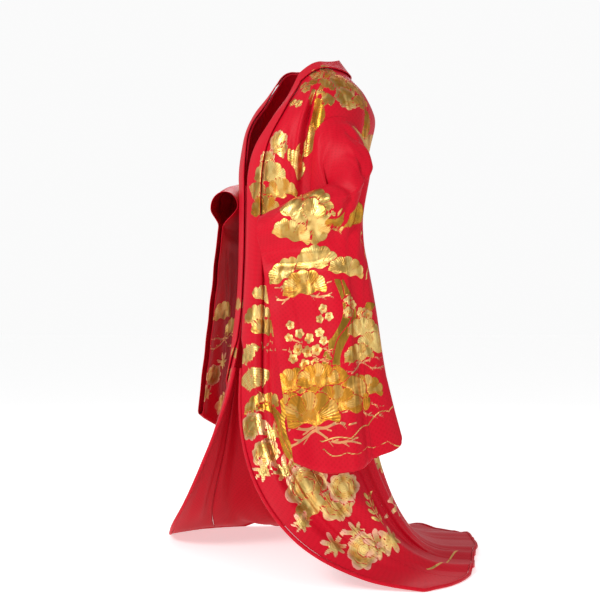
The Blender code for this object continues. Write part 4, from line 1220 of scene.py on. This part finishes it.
class UCHIKAKE_OT_stage(bpy.types.Operator):
    """Build the floor, the lights and the camera"""

    bl_idname = "uchikake.stage"
    bl_label = "Studio"

    def execute(self, context):
        options = context.scene.uchi_stage
        scene = context.scene
        floor_mesh = bpy.data.meshes.new("studio floor")
        ring = [(FLOOR_REACH * math.cos(a), FLOOR_REACH * math.sin(a), FLOOR_Z) for a in
                np.linspace(0.0, 2 * math.pi, 65)[:-1]]
        floor_mesh.from_pydata(ring, [], [tuple(range(len(ring)))])
        floor = bpy.data.objects.new("studio floor", floor_mesh)
        scene.collection.objects.link(floor)
        pale = bpy.data.materials.new("studio pale")
        pale.use_nodes = True
        shader = pale.node_tree.nodes["Principled BSDF"]
        shader.inputs["Base Color"].default_value = (FLOOR_PALE, FLOOR_PALE, FLOOR_PALE, 1.0)
        shader.inputs["Emission Color"].default_value = (1.0, 1.0, 1.0, 1.0)
        shader.inputs["Emission Strength"].default_value = FLOOR_GLOW
        shader.inputs["Roughness"].default_value = 0.9
        shader.inputs["Specular IOR Level"].default_value = 0.1
        floor_mesh.materials.append(pale)
        world = bpy.data.worlds.new("studio")
        world.use_nodes = True
        # the camera sees white, and the garment is lit by a dimmer sky that leaves the
        # creases to the lamps
        seen = world.node_tree.nodes.new("ShaderNodeLightPath")
        bright = world.node_tree.nodes.new("ShaderNodeMapRange")
        bright.inputs["To Min"].default_value = options.sky
        bright.inputs["To Max"].default_value = BACKGROUND_WHITE
        background = world.node_tree.nodes["Background"]
        background.inputs["Color"].default_value = (1.0, 1.0, 1.0, 1.0)
        world.node_tree.links.new(seen.outputs["Is Camera Ray"], bright.inputs["Value"])
        world.node_tree.links.new(bright.outputs["Result"], background.inputs["Strength"])
        scene.world = world
        scene.view_settings.view_transform = "Standard"
        for name, (turn, rise, reach, size, share) in LAMPS.items():
            angle = options.azimuth + math.radians(turn) - math.pi / 2
            lamp = bpy.data.lights.new(name, "AREA")
            lamp.energy = options.key * share
            lamp.size = size
            light = bpy.data.objects.new(name, lamp)
            light.location = (reach * math.cos(angle), reach * math.sin(angle), rise)
            aim = Vector(LAMP_AIM) - light.location
            light.rotation_euler = aim.to_track_quat("-Z", "Y").to_euler()
            scene.collection.objects.link(light)
        lens = bpy.data.cameras.new("camera")
        lens.lens = options.lens
        lens.sensor_width = 36.0
        lens.shift_x = options.shift
        camera = bpy.data.objects.new("camera", lens)
        angle = options.azimuth - math.pi / 2
        camera.location = (options.distance * math.cos(angle), options.distance * math.sin(angle),
                           FLOOR_Z + options.height)
        aim = Vector((-math.cos(angle), -math.sin(angle), 0.0))
        camera.rotation_euler = aim.to_track_quat("-Z", "Y").to_euler()
        scene.collection.objects.link(camera)
        scene.camera = camera
        return {"FINISHED"}


class UCHIKAKE_PT_panel(bpy.types.Panel):
    """Sidebar panel of the garment's steps and sizes"""

    bl_idname = "UCHIKAKE_PT_panel"
    bl_label = "Uchikake"
    bl_space_type = "VIEW_3D"
    bl_region_type = "UI"
    bl_category = "Uchikake"

    def draw(self, context):
        for group in (context.scene.uchi_mesh, context.scene.uchi_silk,
                      context.scene.uchi_stage):
            box = self.layout.box()
            for name in group.__annotations__:
                box.prop(group, name)
        for step in STEPS:
            self.layout.operator(step.bl_idname)


STEPS = (UCHIKAKE_OT_bodies, UCHIKAKE_OT_linings, UCHIKAKE_OT_sleeves, UCHIKAKE_OT_collar,
         UCHIKAKE_OT_rolls, UCHIKAKE_OT_stage)
GROUPS = (("uchi_mesh", UchiMesh), ("uchi_silk", UchiSilk), ("uchi_stage", UchiStage))


def register():
    for _, group in GROUPS:
        bpy.utils.register_class(group)
    for step in (*STEPS, UCHIKAKE_PT_panel):
        bpy.utils.register_class(step)
    for name, group in GROUPS:
        setattr(bpy.types.Scene, name, bpy.props.PointerProperty(type=group))


def unregister():
    for name, _ in GROUPS:
        delattr(bpy.types.Scene, name)
    for step in (UCHIKAKE_PT_panel, *reversed(STEPS)):
        bpy.utils.unregister_class(step)
    for _, group in reversed(GROUPS):
        bpy.utils.unregister_class(group)


def main():
    register()
    bpy.ops.uchikake.bodies()
    bpy.ops.uchikake.linings()
    bpy.ops.uchikake.sleeves()
    bpy.ops.uchikake.collar()
    bpy.ops.uchikake.rolls()
    bpy.ops.uchikake.stage()


if __name__ == "__main__":
    main()
